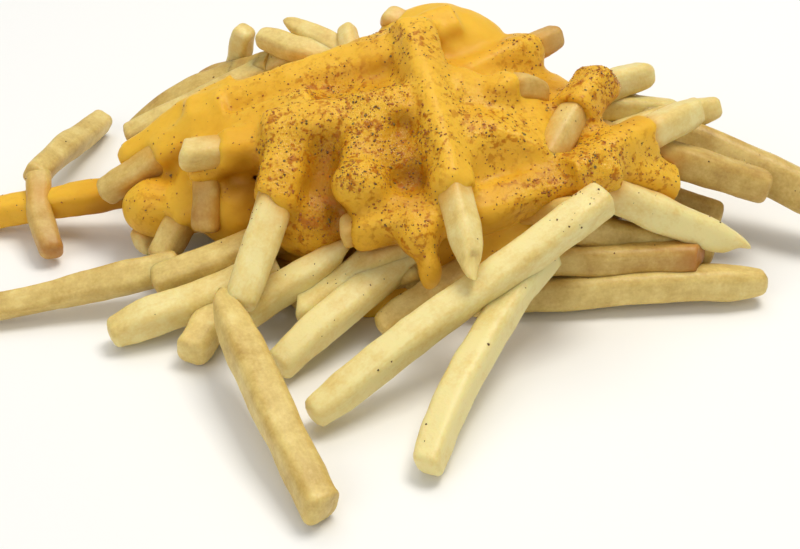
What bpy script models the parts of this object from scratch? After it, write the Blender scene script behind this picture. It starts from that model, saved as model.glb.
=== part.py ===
"""Cheese fries: a loose heap of straight-cut fries under a poured blanket of cheese sauce.

The heap stands on its own flat underside. +X runs to the right of the heap as it is seen from
the front, +Y to its back and +Z up. The origin lies on the resting plane, under the middle of
the heap's box. Two solids are built: the fries, fused to a core, and the sauce over them.
"""

import math
import random
from dataclasses import dataclass

import bmesh
import bpy
from mathutils import Matrix, Vector

MM = 0.001  # the tables below are in millimetres, and Blender's unit is the metre
HEAP_MIDDLE = (-1.5, 15.6)  # where the tables put the middle of the heap's box

FRY_WIDTH = 8.4  # a fried 3/8 inch straight cut
END_ROUND = 1.7  # length over which a cut end is rounded off
END_INSET = 1.4  # how far the skin draws in at a rounded end
STATION_SPACING = 4.0  # least distance between two sections of a bar
TAPER_LENGTH = 16.0  # length over which a pointed end narrows
EDGE_CUT = 0.21  # share of the width taken off each long edge
FLOOR_GAP = 0.02  # the lowest fries stay this far above the resting plane

CORE_CENTRE = (4.0, 35.0)
CORE_RADII = (50.0, 40.0, 45.0)
CORE_SQUARE = 3.0  # 2 gives an egg; more than that, steeper flanks and a flatter top
CORE_LUMP = 1.6  # height of the broad lumps on the core
CORE_SEGMENTS = 20
CORE_RINGS = 12
CORE_UNDERCUT = -2.0  # how far below the resting plane the cutter for the core reaches

SAUCE_THICKNESS = 4.0  # depth of the blanket over the core
SAUCE_LIP = 1.5  # how much deeper the blanket is where its hem has run thick
SAUCE_DIP = 3.0  # how far the blanket's hem dives into the core, below its edge
SAUCE_EDGE = math.radians(31)  # mean angle above the floor at which the blanket ends
COAT = 1.3  # thickness of the sauce round a coated fry
SAUCE_BED = (6.0, 8.0)  # height of the blanket's edge inside the core, and its sag below
SAUCE_VOXEL = 1.7
SAUCE_TRIANGLES = 3000
JOINT_GAP = 0.35  # clearance between the sauce and what it lies on

FILLER_SEED = 11
FILLER_COUNT = 24
FILLER_ARC = (12, 156)  # first azimuth and width of the arc that they stand on, in degrees
FILLER_RISES = (24, 44, 12)  # angle above the floor of the heads of the three layers, in degrees
FILLER_DROPS = (0.34, 0.5, 0.12)  # fall of a filler in each layer, as a share of its length
FILLER_HEAD = (-2.0, 3.0)  # how far a head lies outside the core's skin, and is then raised
FILLER_REACH = 0.6  # share of a filler's level length by which its foot lies outside its head

MERGE = 2e-6  # points of a joined mesh that lie closer than this, in metres, are one


@dataclass(frozen=True)
class Fry:
    """A fry, by the middles of its two ends in millimetres, and how it is cut and bent."""

    butt: tuple
    tip: tuple
    width: float = FRY_WIDTH
    flat: float = 1.0  # height of the section as a share of its width
    roll: float = 0.0  # turn of the section about the fry, in degrees
    bow: float = 0.0  # rise of the fry's middle, in millimetres
    sway: float = 0.0  # sideways bend of the fry's middle, in millimetres
    butt_end: float = 1.0  # width of the butt as a share of the full width
    tip_end: float = 1.0  # a tip left at full width ends inside the heap, and isn't rounded
    slant: float = 0.0  # skew of both end cuts, in millimetres across the width
    taper: float = 0.0  # share of the width that is lost evenly from the tip to the butt
    coat: tuple = ()  # stretch under sauce, as shares of the length from the butt
    bare: bool = True  # a fry hidden all along by its coat is left out of the heap


FRONT_FRIES = {
    "front_leg": Fry((-16, -77, 4.7), (-42, -19, 17), 8.6, roll=8, bow=0.6, tip_end=0.4, slant=-1.5),
    "right_leg": Fry(
        (5.8, -63, 4.3), (34.5, -7.5, 22.5), 8.0, roll=-10, sway=3.2, butt_end=0.9, taper=0.08
    ),
    "long_front": Fry(
        (-20, -46, 4.8), (49, -1, 35), 9.0, roll=12, bow=0.5, butt_end=0.72, tip_end=0.9, taper=0.08
    ),
    "front_prop": Fry((44, -3, 32), (25, 12, 23), 7.2, roll=10),
    "low_front": Fry((-29, -28, 4.5), (2, 1, 17), 8.4, roll=14, bow=0.6, butt_end=0.8),
    "inner_front": Fry((-24, -12, 9.5), (6, 3, 23), 7.8, roll=5, slant=2.0),
    "under_long": Fry((-5, -14, 5.5), (17, -1, 14), 7.4, roll=20, butt_end=0.7),
    "short_point": Fry((-38, -13, 8.5), (-14, -2, 20), 8.0, roll=10, bow=0.8, tip_end=0.4),
}

LEFT_FRIES = {
    "left_reach": Fry((-114, -7, 4.2), (-55, 5, 11), 8.8, roll=38, bow=-0.8, butt_end=0.8, taper=0.35),
    "left_low": Fry((-70, -15, 4.5), (-30, 0, 13), 8.8, roll=12, bow=0.4, butt_end=0.75),
    "left_stub": Fry((-50, -23, 4.6), (-42, -1, 7), 8.8, roll=6, butt_end=0.85),
    "left_cross": Fry((-61, 0, 9), (-28, 8, 19), 8.4, roll=16, butt_end=0.8),
    "leaning": Fry(
        (-38, -19, 15.5), (-24.5, 20.8, 44), 8.8, roll=22, bow=0.6, butt_end=0.8, tip_end=0.85, coat=(0.52, 1.0)
    ),
    "left_wall": Fry((-61, 10.5, 8.5), (-49, 27, 24.5), 7.8, butt_end=0.85, coat=(0.45, 1.0)),
    "left_window": Fry((-48.5, 10, 17.5), (-47, 22, 36), 7.4, butt_end=0.85, coat=(0.62, 1.0)),
    "left_shelf": Fry((-53.5, 15, 36.8), (-28, 20, 37), 7.4, roll=12, slant=1.0, coat=(0.2, 1.0)),
    "left_edge": Fry((-77.5, 31, 15.5), (-44, 34, 37.5), 7.6, roll=24, butt_end=0.85, coat=(0.5, 1.0)),
    "left_sauced": Fry((-117, 37, 4.4), (-60, 38, 15), 5.8, roll=10, taper=0.15, coat=(0.0, 1.0)),
    "left_prop": Fry((-65, 34, 17), (-34, 34, 31), 7.6, roll=10),
    "left_short": Fry((-90, 20, 4.2), (-97, 43, 13), 6.8, roll=4, sway=1.2, butt_end=0.9),
    "left_far": Fry((-98, 42, 14), (-88, 90, 4.2), 7.2, roll=30, sway=0.4, butt_end=0.85, tip_end=0.9),
}

BACK_FRIES = {
    "back_broad": Fry((-75, 64, 13), (-40, 68, 31), 9.4, roll=20, bow=2.8, butt_end=0.6),
    "back_pale": Fry((-74, 54, 19), (-19, 65, 43), 7.4, roll=15, tip_end=0.3),
    "back_brown": Fry((-56, 74, 25), (-34, 62, 37), 7.4, roll=20, butt_end=0.7),
    "back_upright": Fry((-49, 77, 20), (-42, 71, 43.5), 6.2, roll=12, tip_end=0.8),
    "back_oval": Fry((-38, 64, 44.5), (-14, 52, 42), 6.8, roll=20, bow=0.4, butt_end=0.6),
    "back_wedge": Fry((-29, 66, 47), (-8, 52, 43), 6.8, roll=30, butt_end=0.4),
    "back_nub": Fry((-14, 60, 49.5), (-11, 42, 43), 6.2, roll=40, butt_end=0.6),
    "back_top": Fry((-4, 62, 52), (11, 53, 44.5), 7.2, roll=20, butt_end=0.7, coat=(0.5, 1.0)),
    "back_prop": Fry((-62, 74, 15), (-18, 50, 40), 8.4, roll=20, butt_end=0.8),
}

RIGHT_FRIES = {
    "right_knob": Fry((42, 60, 47), (18, 42, 44), 7.6, roll=20, butt_end=0.7, coat=(0.32, 1.0)),
    "right_curl": Fry((36.5, 32, 44.5), (22, 25, 47.5), 6.8, roll=15, bow=2.5, butt_end=0.8, tip_end=0.85),
    "right_lean": Fry((50.6, 36.7, 46), (35.5, 12, 37), 8.0, roll=25, bow=0.6, coat=(0.0, 0.42)),
    "right_square": Fry((65.5, 57, 37), (36, 40, 36), 8.4, roll=18, butt_end=0.8, slant=-1.5),
    "right_behind": Fry((74, 52, 28), (36, 46, 35), 8.0, roll=15, butt_end=0.8),
    "right_bridge": Fry(
        (77, 37, 38), (42, 7, 36), 7.8, roll=20, butt_end=0.7, slant=2.0, coat=(0.42, 1.0)
    ),
    "right_round": Fry((85, 52, 30), (50, 40, 25), 8.2, roll=30, butt_end=0.65),
    "right_reach": Fry((113, 29, 13), (48, 58, 31), 10.4, roll=28, bow=0.6, butt_end=0.85, taper=-0.1),
    "right_gold": Fry((94.5, 27, 20), (44, 29, 36), 9.0, roll=16, butt_end=0.85),
    "right_under": Fry((84, 29, 10), (44, 34, 20), 8.2, roll=35, butt_end=0.8),
    "right_point": Fry((85, 11, 12.5), (44, 10, 32), 8.9, roll=16, bow=0.4, butt_end=0.3),
    "right_mid": Fry((79, 12, 10), (34, 9, 22), 7.8, roll=10, butt_end=0.7),
    "right_browned": Fry((75, 6, 13), (18, 4, 13), 7.8, roll=10, butt_end=0.9, slant=1.5),
    "right_thin": Fry((77, 9, 6), (26, 6, 6), 7.2, roll=20, butt_end=0.7),
    "right_low": Fry((92, 5, 6), (18, -1, 5), 8.4, roll=10, bow=0.6, butt_end=0.55),
}

SAUCED_FRIES = {
    "ridge": Fry(
        (16.8, -23.3, 29.8), (3, 44, 56), 8.2, roll=32, bow=0.8, butt_end=0.35, taper=0.12, coat=(0.3, 1.0)
    ),
    "low_ridge": Fry(
        (-71.5, 37, 22.5), (-42, 41, 39.5), 6.6, roll=20, butt_end=0.5, coat=(0.0, 1.0), bare=False
    ),
    "high_ridge": Fry((-53, 36, 35), (2, 42, 51), 7.8, roll=20, bow=0.6, coat=(0.0, 1.0), bare=False),
    "top_ridge": Fry((-18, 40, 46), (13, 53, 53), 7.6, roll=20, coat=(0.0, 1.0), bare=False),
    "bulb": Fry((-9.5, 4, 36), (-7, 21, 46.5), 8.6, roll=10, coat=(0.0, 1.0), bare=False),
    "tongue_bar": Fry((-14, -4, 26.5), (11, -4, 31.5), 7.4, roll=18, bow=1.0, coat=(0.22, 1.0)),
    "right_sheet": Fry((12, 28, 48), (36, 25, 38), 8.4, roll=15, coat=(0.0, 1.0), bare=False),
    "right_hem": Fry((17, -1, 30), (51, 11, 35), 7.6, roll=20, coat=(0.0, 1.0), bare=False),
    "right_fold": Fry((44, 14, 35), (67, 20, 25), 7.6, roll=20, bow=1.5, coat=(0.0, 1.0), bare=False),
    "mid_sheet": Fry((-32, 17, 42), (0, 20, 47), 7.6, roll=20, coat=(0.0, 1.0), bare=False),
    "left_rise": Fry((-50, 28, 31), (-22, 24, 44), 7.6, roll=20, coat=(0.0, 1.0), bare=False),
}

# Pools and drips of sauce that follow no fry: middle and radii, in millimetres.
SAUCE_LOBES = {
    "dollop": ((10.5, 57, 41), (19, 15, 15)),
    "left_lobe": ((-61.8, 25, 15), (10.2, 7.5, 8)),
    "tongue": ((6, -12, 25), (4.5, 5, 7.5)),
    "pool": ((-21, 4, 23), (10, 7, 9)),
    "recess": ((-38.5, 16, 18.5), (13, 6, 10)),
    "bulb_end": ((-9.3, 0.2, 37.5), (7.2, 6, 6.3)),
    "right_joint": ((46, 23, 37.5), (6, 5, 4)),
    "right_lobe": ((60, 20, 27), (8, 7, 7)),
    "back_lobe": ((-14, 60, 28), (15, 9, 12)),
    "back_right_lobe": ((30, 60, 28), (12, 8, 12)),
}


def placed_fries():
    """All the fries that were set by eye, with their names."""
    found = {}
    for group in (FRONT_FRIES, LEFT_FRIES, BACK_FRIES, RIGHT_FRIES, SAUCED_FRIES):
        found.update(group)
    return found


def core_point(azimuth, rise, grow=0.0):
    """A point on the core's skin in millimetres, by its azimuth and its angle above the floor."""
    lump = CORE_LUMP * (math.sin(3 * azimuth + 0.6) * math.cos(4 * rise) + math.sin(5 * azimuth))
    level, height = math.cos(rise), math.sin(rise)
    swell = (level**CORE_SQUARE + height**CORE_SQUARE) ** (-1 / CORE_SQUARE)
    more = lump * level + grow
    return Vector(
        (
            CORE_CENTRE[0] + (CORE_RADII[0] * swell + more) * math.cos(azimuth) * level,
            CORE_CENTRE[1] + (CORE_RADII[1] * swell + more) * math.sin(azimuth) * level,
            (CORE_RADII[2] * swell + more) * height,
        )
    )


def filler_fries():
    """Fries round the back and flanks, which a seeded rule leans from the floor on the core."""
    draw = random.Random(FILLER_SEED)
    found = {}
    for k in range(FILLER_COUNT):
        turn = FILLER_ARC[0] + FILLER_ARC[1] * (k + 0.5) / FILLER_COUNT
        azimuth = math.radians(turn + draw.uniform(-4, 4))
        layer = k % len(FILLER_RISES)
        rise = math.radians(FILLER_RISES[layer] + draw.uniform(-7, 7))
        head = core_point(azimuth, rise, FILLER_HEAD[0])
        head.z += FILLER_HEAD[1]
        heading = azimuth + math.radians(draw.uniform(-62, 62))
        length = draw.uniform(42, 66)
        drop = min(head.z - FRY_WIDTH / 2, length * FILLER_DROPS[layer])
        reach = math.sqrt(length * length - drop * drop) * FILLER_REACH
        foot = (
            head.x + reach * math.cos(heading),
            head.y + reach * math.sin(heading),
            max(head.z - drop, FRY_WIDTH / 2 + 0.6),
        )
        found[f"filler_{k}"] = Fry(
            foot,
            tuple(head),
            draw.uniform(7.4, 9.2),
            roll=draw.uniform(-40, 40),
            bow=draw.uniform(-1.5, 2.0),
            sway=draw.uniform(-2.0, 2.0),
            butt_end=draw.choice((0.45, 0.8, 0.9, 0.9)),
        )
    return found


def end_scale(fry, share, length):
    """Width of the section at a share of the length, as a share of the full width."""
    scale = 1.0 - fry.taper * (1.0 - share)
    for end, distance in ((fry.butt_end, share * length), (fry.tip_end, (1 - share) * length)):
        run = min(max(distance / TAPER_LENGTH, 0.0), 1.0)
        scale *= end + (1 - end) * math.sqrt(run * (2 - run))
    return scale


def fry_frame(fry):
    """Origin, length and the three axes of a fry: along, across and up."""
    butt, tip = Vector(fry.butt), Vector(fry.tip)
    along = (tip - butt).normalized()
    across = Vector((0, 0, 1)).cross(along)
    across = across.normalized() if across.length > 0.05 else Vector((1, 0, 0))
    up = along.cross(across)
    turn = Matrix.Rotation(math.radians(fry.roll), 3, along)
    return butt, (tip - butt).length, along, turn @ across, turn @ up


def stations_of(fry, start, stop, length, rounding):
    """Distances from the butt at which the bar's section is set, where its shape changes."""
    middle = 0.5 * (start + stop)
    wanted = [start + rounding]
    if fry.tip_end < 1.0:
        wanted += [stop - rounding]
    if fry.butt_end < 0.88:
        wanted += [0.35 * TAPER_LENGTH, TAPER_LENGTH]
    if fry.tip_end < 0.88:
        wanted += [length - TAPER_LENGTH, length - 0.35 * TAPER_LENGTH]
    if abs(fry.bow) + abs(fry.sway) > 1.9:
        wanted += [0.5 * (start + middle), middle, 0.5 * (middle + stop)]
    elif abs(fry.bow) + abs(fry.sway) > 0.7:
        wanted += [middle]
    kept = []
    for distance in wanted:
        inside = start + rounding <= distance <= stop - rounding
        if inside and all(abs(distance - other) > STATION_SPACING for other in kept):
            kept.append(distance)
    return kept


def fry_mesh(name, fry, span=(0.0, 1.0), grow=0.0):
    """A fry, or the stretch of it in span, as a closed bar with cut edges and rounded ends."""
    butt, length, along, across, up = fry_frame(fry)
    start, stop = span[0] * length - grow, span[1] * length + grow
    rounding = min(END_ROUND + grow, 0.3 * (stop - start))
    bm = bmesh.new()
    bmesh.ops.create_cube(bm, size=1.0)
    long_edges = [e for e in bm.edges if abs(e.verts[0].co.x - e.verts[1].co.x) > 0.5]
    bmesh.ops.bevel(bm, geom=long_edges, offset=EDGE_CUT, segments=1, affect="EDGES")
    for station in stations_of(fry, start, stop, length, rounding):
        plane = (station - start) / (stop - start) - 0.5
        geometry = bm.verts[:] + bm.edges[:] + bm.faces[:]
        bmesh.ops.bisect_plane(bm, geom=geometry, plane_co=(plane, 0, 0), plane_no=(1, 0, 0))
    for vert in bm.verts:
        x, y, z = vert.co
        run = start + (x + 0.5) * (stop - start)
        share = min(max(run / length, 0.0), 1.0)
        scale = end_scale(fry, share, length)
        at_end = x < -0.499 or (x > 0.499 and fry.tip_end < 1.0)
        shrink = 1.0 - (min(rounding * 0.8, END_INSET) / (0.5 * fry.width) if at_end else 0.0)
        half = 0.5 * fry.width * scale
        wide = y * 2 * (half + grow) * shrink
        high = z * 2 * (half * fry.flat + grow) * shrink
        bend = 1 - (2 * share - 1) ** 2
        skew = fry.slant * y * 2 * (2 * abs(x)) ** 6
        point = butt + along * (run + skew) + across * wide + up * high
        point += Vector((0, 0, 1)) * fry.bow * bend + across * fry.sway * bend
        vert.co = point
    floor = FLOOR_GAP - grow
    for vert in bm.verts:
        vert.co.z = max(vert.co.z, floor)
    bmesh.ops.scale(bm, vec=(MM, MM, MM), verts=bm.verts)
    bmesh.ops.recalc_face_normals(bm, faces=bm.faces)
    return object_from(bm, name)


def object_from(bm, name):
    """A new object that holds the bmesh, which is freed."""
    mesh = bpy.data.meshes.new(name)
    bm.to_mesh(mesh)
    bm.free()
    return bpy.data.objects.new(name, mesh)


def core_mesh(name, grow=0.0, floor=0.0):
    """The lumpy dome in the middle of the heap, flat underneath."""
    bm = bmesh.new()
    bmesh.ops.create_uvsphere(bm, u_segments=CORE_SEGMENTS, v_segments=CORE_RINGS, radius=1.0)
    low = bm.verts[:] + bm.edges[:] + bm.faces[:]
    cut = bmesh.ops.bisect_plane(bm, geom=low, plane_co=(0, 0, -1e-4), plane_no=(0, 0, -1), clear_outer=True)
    rim = [e for e in cut["geom_cut"] if isinstance(e, bmesh.types.BMEdge)]
    bmesh.ops.edgeloop_fill(bm, edges=rim)
    for vert in bm.verts:
        azimuth = math.atan2(vert.co.y, vert.co.x)
        rise = math.asin(max(-1.0, min(1.0, vert.co.z)))
        point = core_point(azimuth, max(rise, 0.0), grow)
        point.z = max(point.z, 0.0) + (floor if rise < 0.01 else 0.0)
        vert.co = point * MM
    bmesh.ops.recalc_face_normals(bm, faces=bm.faces)
    return object_from(bm, name)


def sauce_depth(azimuth, rise):
    """Depth of the blanket over the core: thick on top, then a hem in uneven tongues."""
    tongues = 0.16 * math.sin(4 * azimuth + 0.4) + 0.10 * math.sin(7 * azimuth + 1.9)
    edge = SAUCE_EDGE + tongues - 0.10 * math.sin(azimuth)
    run = min(max((rise - edge) / 0.4 + 0.5, 0.0), 1.0)
    lip = SAUCE_LIP * math.exp(-(((rise - edge - 0.22) / 0.13) ** 2))
    return (SAUCE_THICKNESS + SAUCE_DIP) * run * run * (3 - 2 * run) - SAUCE_DIP + lip


def blanket_mesh(name):
    """The poured sheet over the core, whose hem dives into it."""
    bm = bmesh.new()
    bmesh.ops.create_uvsphere(bm, u_segments=64, v_segments=48, radius=1.0)
    for vert in bm.verts:
        azimuth = math.atan2(vert.co.y, vert.co.x)
        rise = math.asin(max(-1.0, min(1.0, vert.co.z)))
        depth = sauce_depth(azimuth, rise) if rise > 0 else -SAUCE_DIP
        point = core_point(azimuth, max(rise, 0.0), depth)
        if rise <= 0:
            point.z = SAUCE_BED[0] + SAUCE_BED[1] * math.sin(rise)
        vert.co = point * MM
    return object_from(bm, name)


def lobe_mesh(name, middle, radii):
    """An egg-shaped pool or drip of sauce."""
    bm = bmesh.new()
    bmesh.ops.create_uvsphere(bm, u_segments=24, v_segments=16, radius=1.0)
    for vert in bm.verts:
        vert.co = Vector([(middle[i] + radii[i] * vert.co[i]) * MM for i in range(3)])
    return object_from(bm, name)


def new_collection(name):
    """A collection in the scene."""
    collection = bpy.data.collections.new(name)
    bpy.context.scene.collection.children.link(collection)
    return collection


def evaluated_copy(obj, name):
    """A mesh of the object with its modifiers applied."""
    bpy.context.view_layer.update()
    graph = bpy.context.evaluated_depsgraph_get()
    mesh = bpy.data.meshes.new_from_object(obj.evaluated_get(graph))
    mesh.name = name
    return mesh


def discard(collection):
    """Removes a collection and what it holds."""
    for obj in list(collection.objects):
        bpy.data.objects.remove(obj, do_unlink=True)
    bpy.data.collections.remove(collection)


def joined(base, pieces, operation, solver):
    """The base with the pieces united or cut away, as one new mesh. The pieces are removed."""
    scene_objects = bpy.context.scene.collection.objects
    scene_objects.link(base)
    group = new_collection(base.name + "_pieces")
    for piece in pieces:
        group.objects.link(piece)
    modifier = base.modifiers.new("join", "BOOLEAN")
    modifier.operand_type = "COLLECTION"
    modifier.collection = group
    modifier.operation = operation
    modifier.solver = solver
    mesh = evaluated_copy(base, base.name)
    discard(group)
    bpy.data.objects.remove(base, do_unlink=True)
    return mesh


def shells(bm):
    """The separate shells of a mesh, as lists of faces."""
    found, seen = [], set()
    for face in bm.faces:
        if face in seen:
            continue
        stack, shell = [face], []
        seen.add(face)
        while stack:
            here = stack.pop()
            shell.append(here)
            for edge in here.edges:
                for other in edge.link_faces:
                    if other not in seen:
                        seen.add(other)
                        stack.append(other)
        found.append(shell)
    return found


def shell_volume(shell):
    """Signed volume inside a shell of triangles."""
    total = 0.0
    for face in shell:
        a, b, c = (v.co for v in face.verts)
        total += a.dot(b.cross(c)) / 6
    return total


def one_body(mesh, name):
    """Keeps the outer shell of the largest body, so sealed hollows are filled and scraps dropped."""
    bm = bmesh.new()
    bm.from_mesh(mesh)
    bmesh.ops.remove_doubles(bm, verts=bm.verts, dist=MERGE)
    bmesh.ops.dissolve_degenerate(bm, dist=MERGE, edges=bm.edges)
    bmesh.ops.triangulate(bm, faces=bm.faces)
    parts = sorted(shells(bm), key=shell_volume, reverse=True)
    for shell in parts[1:]:
        bmesh.ops.delete(bm, geom=shell, context="FACES")
    bmesh.ops.delete(bm, geom=[v for v in bm.verts if not v.link_faces], context="VERTS")
    clean = bpy.data.meshes.new(name)
    bm.to_mesh(clean)
    bm.free()
    return clean


def heap_pieces(fries, grow):
    """The bars that are fused to the core, all made larger by grow."""
    found = []
    for name, fry in fries.items():
        if fry.bare:
            found.append(fry_mesh(f"{name}_bar", fry, grow=grow))
    return found


def heap_mesh(fries):
    """The core with every fry that shows fused on."""
    return one_body(joined(core_mesh("core"), heap_pieces(fries, 0.0), "UNION", "MANIFOLD"), "fries")


def sauce_body(fries):
    """Blanket, lobes and coats run together into one smooth skin, before it is cut to the heap."""
    bm = bmesh.new()
    parts = [blanket_mesh("blanket")]
    parts += [lobe_mesh(name, *lobe) for name, lobe in SAUCE_LOBES.items()]
    parts += [fry_mesh(f"{n}_coat", f, span=f.coat, grow=COAT) for n, f in fries.items() if f.coat]
    for part in parts:
        bm.from_mesh(part.data)
        bpy.data.objects.remove(part, do_unlink=True)
    body = object_from(bm, "sauce_parts")
    bpy.context.scene.collection.objects.link(body)
    remesh = body.modifiers.new("run together", "REMESH")
    remesh.mode = "VOXEL"
    remesh.voxel_size = SAUCE_VOXEL * MM
    smooth = body.modifiers.new("flow", "SMOOTH")
    smooth.factor = 0.5
    smooth.iterations = 4
    fine = evaluated_copy(body, "sauce_fine")
    triangles = sum(len(p.vertices) - 2 for p in fine.polygons)
    thin = body.modifiers.new("fewer faces", "DECIMATE")
    thin.ratio = SAUCE_TRIANGLES / triangles
    mesh = evaluated_copy(body, "sauce_body")
    bpy.data.objects.remove(body, do_unlink=True)
    bpy.data.meshes.remove(fine)
    return mesh


def sauce_mesh(fries):
    """The sauce, cut clear of the core and of each fry that runs into it."""
    body = bpy.data.objects.new("poured", one_body(sauce_body(fries), "poured"))
    cutters = [core_mesh("core_cutter", grow=JOINT_GAP, floor=CORE_UNDERCUT)] + heap_pieces(fries, JOINT_GAP)
    return one_body(joined(body, cutters, "DIFFERENCE", "MANIFOLD"), "cheese_sauce")


def material(name, colour, roughness):
    """A Principled material with a plain colour."""
    made = bpy.data.materials.new(name)
    made.use_nodes = True
    shader = made.node_tree.nodes["Principled BSDF"]
    shader.inputs["Base Color"].default_value = (*colour, 1.0)
    shader.inputs["Roughness"].default_value = roughness
    shader.inputs["Metallic"].default_value = 0.0
    return made


def clear_scene():
    """Empties the scene of what the file opened with."""
    for obj in list(bpy.data.objects):
        bpy.data.objects.remove(obj, do_unlink=True)


def main():
    """Builds the two solids in a collection named for the object."""
    clear_scene()
    fries = placed_fries()
    fries.update(filler_fries())
    sauce = sauce_mesh(fries)
    heap = heap_mesh(fries)
    shelf = new_collection("cheese_fries")
    for name, mesh, finish in (
        ("fries", heap, material("fried_potato", (0.78, 0.60, 0.25), 0.5)),
        ("cheese_sauce", sauce, material("cheese_sauce_finish", (0.82, 0.45, 0.06), 0.25)),
    ):
        mesh.transform(Matrix.Translation((-HEAP_MIDDLE[0] * MM, -HEAP_MIDDLE[1] * MM, 0.0)))
        mesh.materials.clear()
        mesh.materials.append(finish)
        shelf.objects.link(bpy.data.objects.new(name, mesh))
    return shelf


if __name__ == "__main__":
    main()
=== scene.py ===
"""Looks of a heap of cheese fries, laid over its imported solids.

Sizes below are in millimetres, and a mesh is turned to metres when it is finished. The tables
place things as they lie in the photograph, and HEAP_MIDDLE moves them into the row frame, whose
origin lies on the resting plane under the middle of the heap's box. +X is the heap's right as it
is seen from the front, +Y its back and +Z up.
"""

import logging
import math
import random
from collections.abc import Callable
from dataclasses import dataclass, field
from enum import Enum

import bmesh
import bpy
import numpy as np
from mathutils import Matrix, Vector, noise
from mathutils.bvhtree import BVHTree


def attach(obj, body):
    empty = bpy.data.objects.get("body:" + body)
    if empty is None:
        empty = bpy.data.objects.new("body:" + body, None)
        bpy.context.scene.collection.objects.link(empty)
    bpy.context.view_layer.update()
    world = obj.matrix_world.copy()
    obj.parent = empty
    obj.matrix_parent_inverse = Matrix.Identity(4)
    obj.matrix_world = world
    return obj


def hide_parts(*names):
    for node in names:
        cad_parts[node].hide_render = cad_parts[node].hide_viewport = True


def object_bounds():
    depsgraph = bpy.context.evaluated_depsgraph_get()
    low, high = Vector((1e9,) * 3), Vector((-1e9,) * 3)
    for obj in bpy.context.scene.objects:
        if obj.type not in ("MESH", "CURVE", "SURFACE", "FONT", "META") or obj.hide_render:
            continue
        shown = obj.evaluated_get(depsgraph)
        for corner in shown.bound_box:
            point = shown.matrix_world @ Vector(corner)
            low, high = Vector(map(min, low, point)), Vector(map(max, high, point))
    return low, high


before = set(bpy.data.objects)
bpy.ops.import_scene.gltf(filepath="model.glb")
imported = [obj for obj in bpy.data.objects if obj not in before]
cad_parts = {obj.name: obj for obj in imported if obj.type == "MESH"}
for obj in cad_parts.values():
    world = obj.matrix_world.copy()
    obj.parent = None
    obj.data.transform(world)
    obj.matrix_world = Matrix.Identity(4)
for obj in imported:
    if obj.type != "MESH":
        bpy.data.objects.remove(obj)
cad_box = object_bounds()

MM = 0.001
HEAP_MIDDLE = (-1.5, 15.6)  # where the tables put the middle of the heap's box

FRY_WIDTH = 8.4  # a fried 3/8 inch straight cut
END_ROUND = 1.7  # length over which a cut end is rounded off
TAPER_LENGTH = 16.0  # length over which a pointed end narrows
FLOOR_GAP = 0.02  # the lowest fries stay this far above the resting plane
FILM_AND_BOUNCE_END = 7.0  # how far from the sauce its thin film, and the painted orange light bounced off it, reach along a fry
FILM_AND_BOUNCE_LENGTH = 2.2  # distance over which the film and the painted bounce light fade to a third
CLEAR_OF_SAUCE = 0.35  # pepper specks lie on a fry where its film and painted bounce light are weaker than this share
STRAY_SEASONING = 0.04  # how thickly seasoning lies outside its patches
EVENING = 0.6  # weight of the neighbours in one round of averaging

MATH, NOISE, MIX, RAMP = "ShaderNodeMath", "ShaderNodeTexNoise", "ShaderNodeMix", "ShaderNodeValToRGB"
ATTRIBUTE, SPLIT, BUMP = "ShaderNodeAttribute", "ShaderNodeSeparateXYZ", "ShaderNodeBump"
MIXED = 2  # number of the output of a Mix node that holds a colour

log = logging.getLogger("cheese_fries")


# Small helpers


def linear(hex_code: str) -> tuple[float, float, float, float]:
    """Turns an sRGB hex colour into Blender's linear one.

    Args:
        hex_code: Six hex digits after a hash.

    Returns:
        Red, green, blue and an alpha of one.
    """
    shares = [int(hex_code[i : i + 2], 16) / 255 for i in (1, 3, 5)]
    low, high = 0.04045, 12.92
    return (*[s / high if s <= low else ((s + 0.055) / 1.055) ** 2.4 for s in shares], 1.0)


def add_node(
    tree: bpy.types.NodeTree, kind: str, links: dict | None = None, stops: tuple = (), **settings
) -> bpy.types.Node:
    """Adds a node, sets it and joins it up.

    Args:
        tree: The tree that the node goes into.
        kind: The node's type in Blender.
        links: Input name or number, and what goes there: a value, an output socket, or a node
            whose first output is meant.
        stops: A ramp's pairs of a place from 0 to 1 and a hex colour.
        **settings: Properties of the node itself.

    Returns:
        The new node.
    """
    node = tree.nodes.new(kind)
    for name, value in settings.items():
        setattr(node, name, value)
    for name, value in (links or {}).items():
        if isinstance(value, bpy.types.Node):
            tree.links.new(value.outputs[0], node.inputs[name])
        elif isinstance(value, bpy.types.NodeSocket):
            tree.links.new(value, node.inputs[name])
        else:
            node.inputs[name].default_value = value
    for k, (place, hex_code) in enumerate(stops):
        elements = node.color_ramp.elements
        element = elements[k] if k < len(elements) else elements.new(place)
        element.position = place
        element.color = linear(hex_code)
    return node


def deselect_all() -> None:
    """Leaves object mode with nothing selected."""
    if bpy.context.mode != "OBJECT":
        bpy.ops.object.mode_set(mode="OBJECT")
    bpy.ops.object.select_all(action="DESELECT")


def make_active(obj: bpy.types.Object) -> None:
    """Selects one object alone and makes it the active one."""
    deselect_all()
    obj.select_set(True)
    bpy.context.view_layer.objects.active = obj


def select_where(obj: bpy.types.Object, kind: str, chosen: Callable) -> None:
    """Selects, in edit mode, the edges or faces that a rule picks.

    Args:
        obj: The object in edit mode.
        kind: EDGE or FACE.
        chosen: Takes an edge or face and says whether it is wanted.
    """
    bpy.ops.mesh.select_mode(type=kind)
    bpy.ops.mesh.select_all(action="DESELECT")
    bm = bmesh.from_edit_mesh(obj.data)
    for element in bm.edges if kind == "EDGE" else bm.faces:
        if chosen(element):
            element.select_set(True)
    bm.select_flush_mode()
    bmesh.update_edit_mesh(obj.data)


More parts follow.
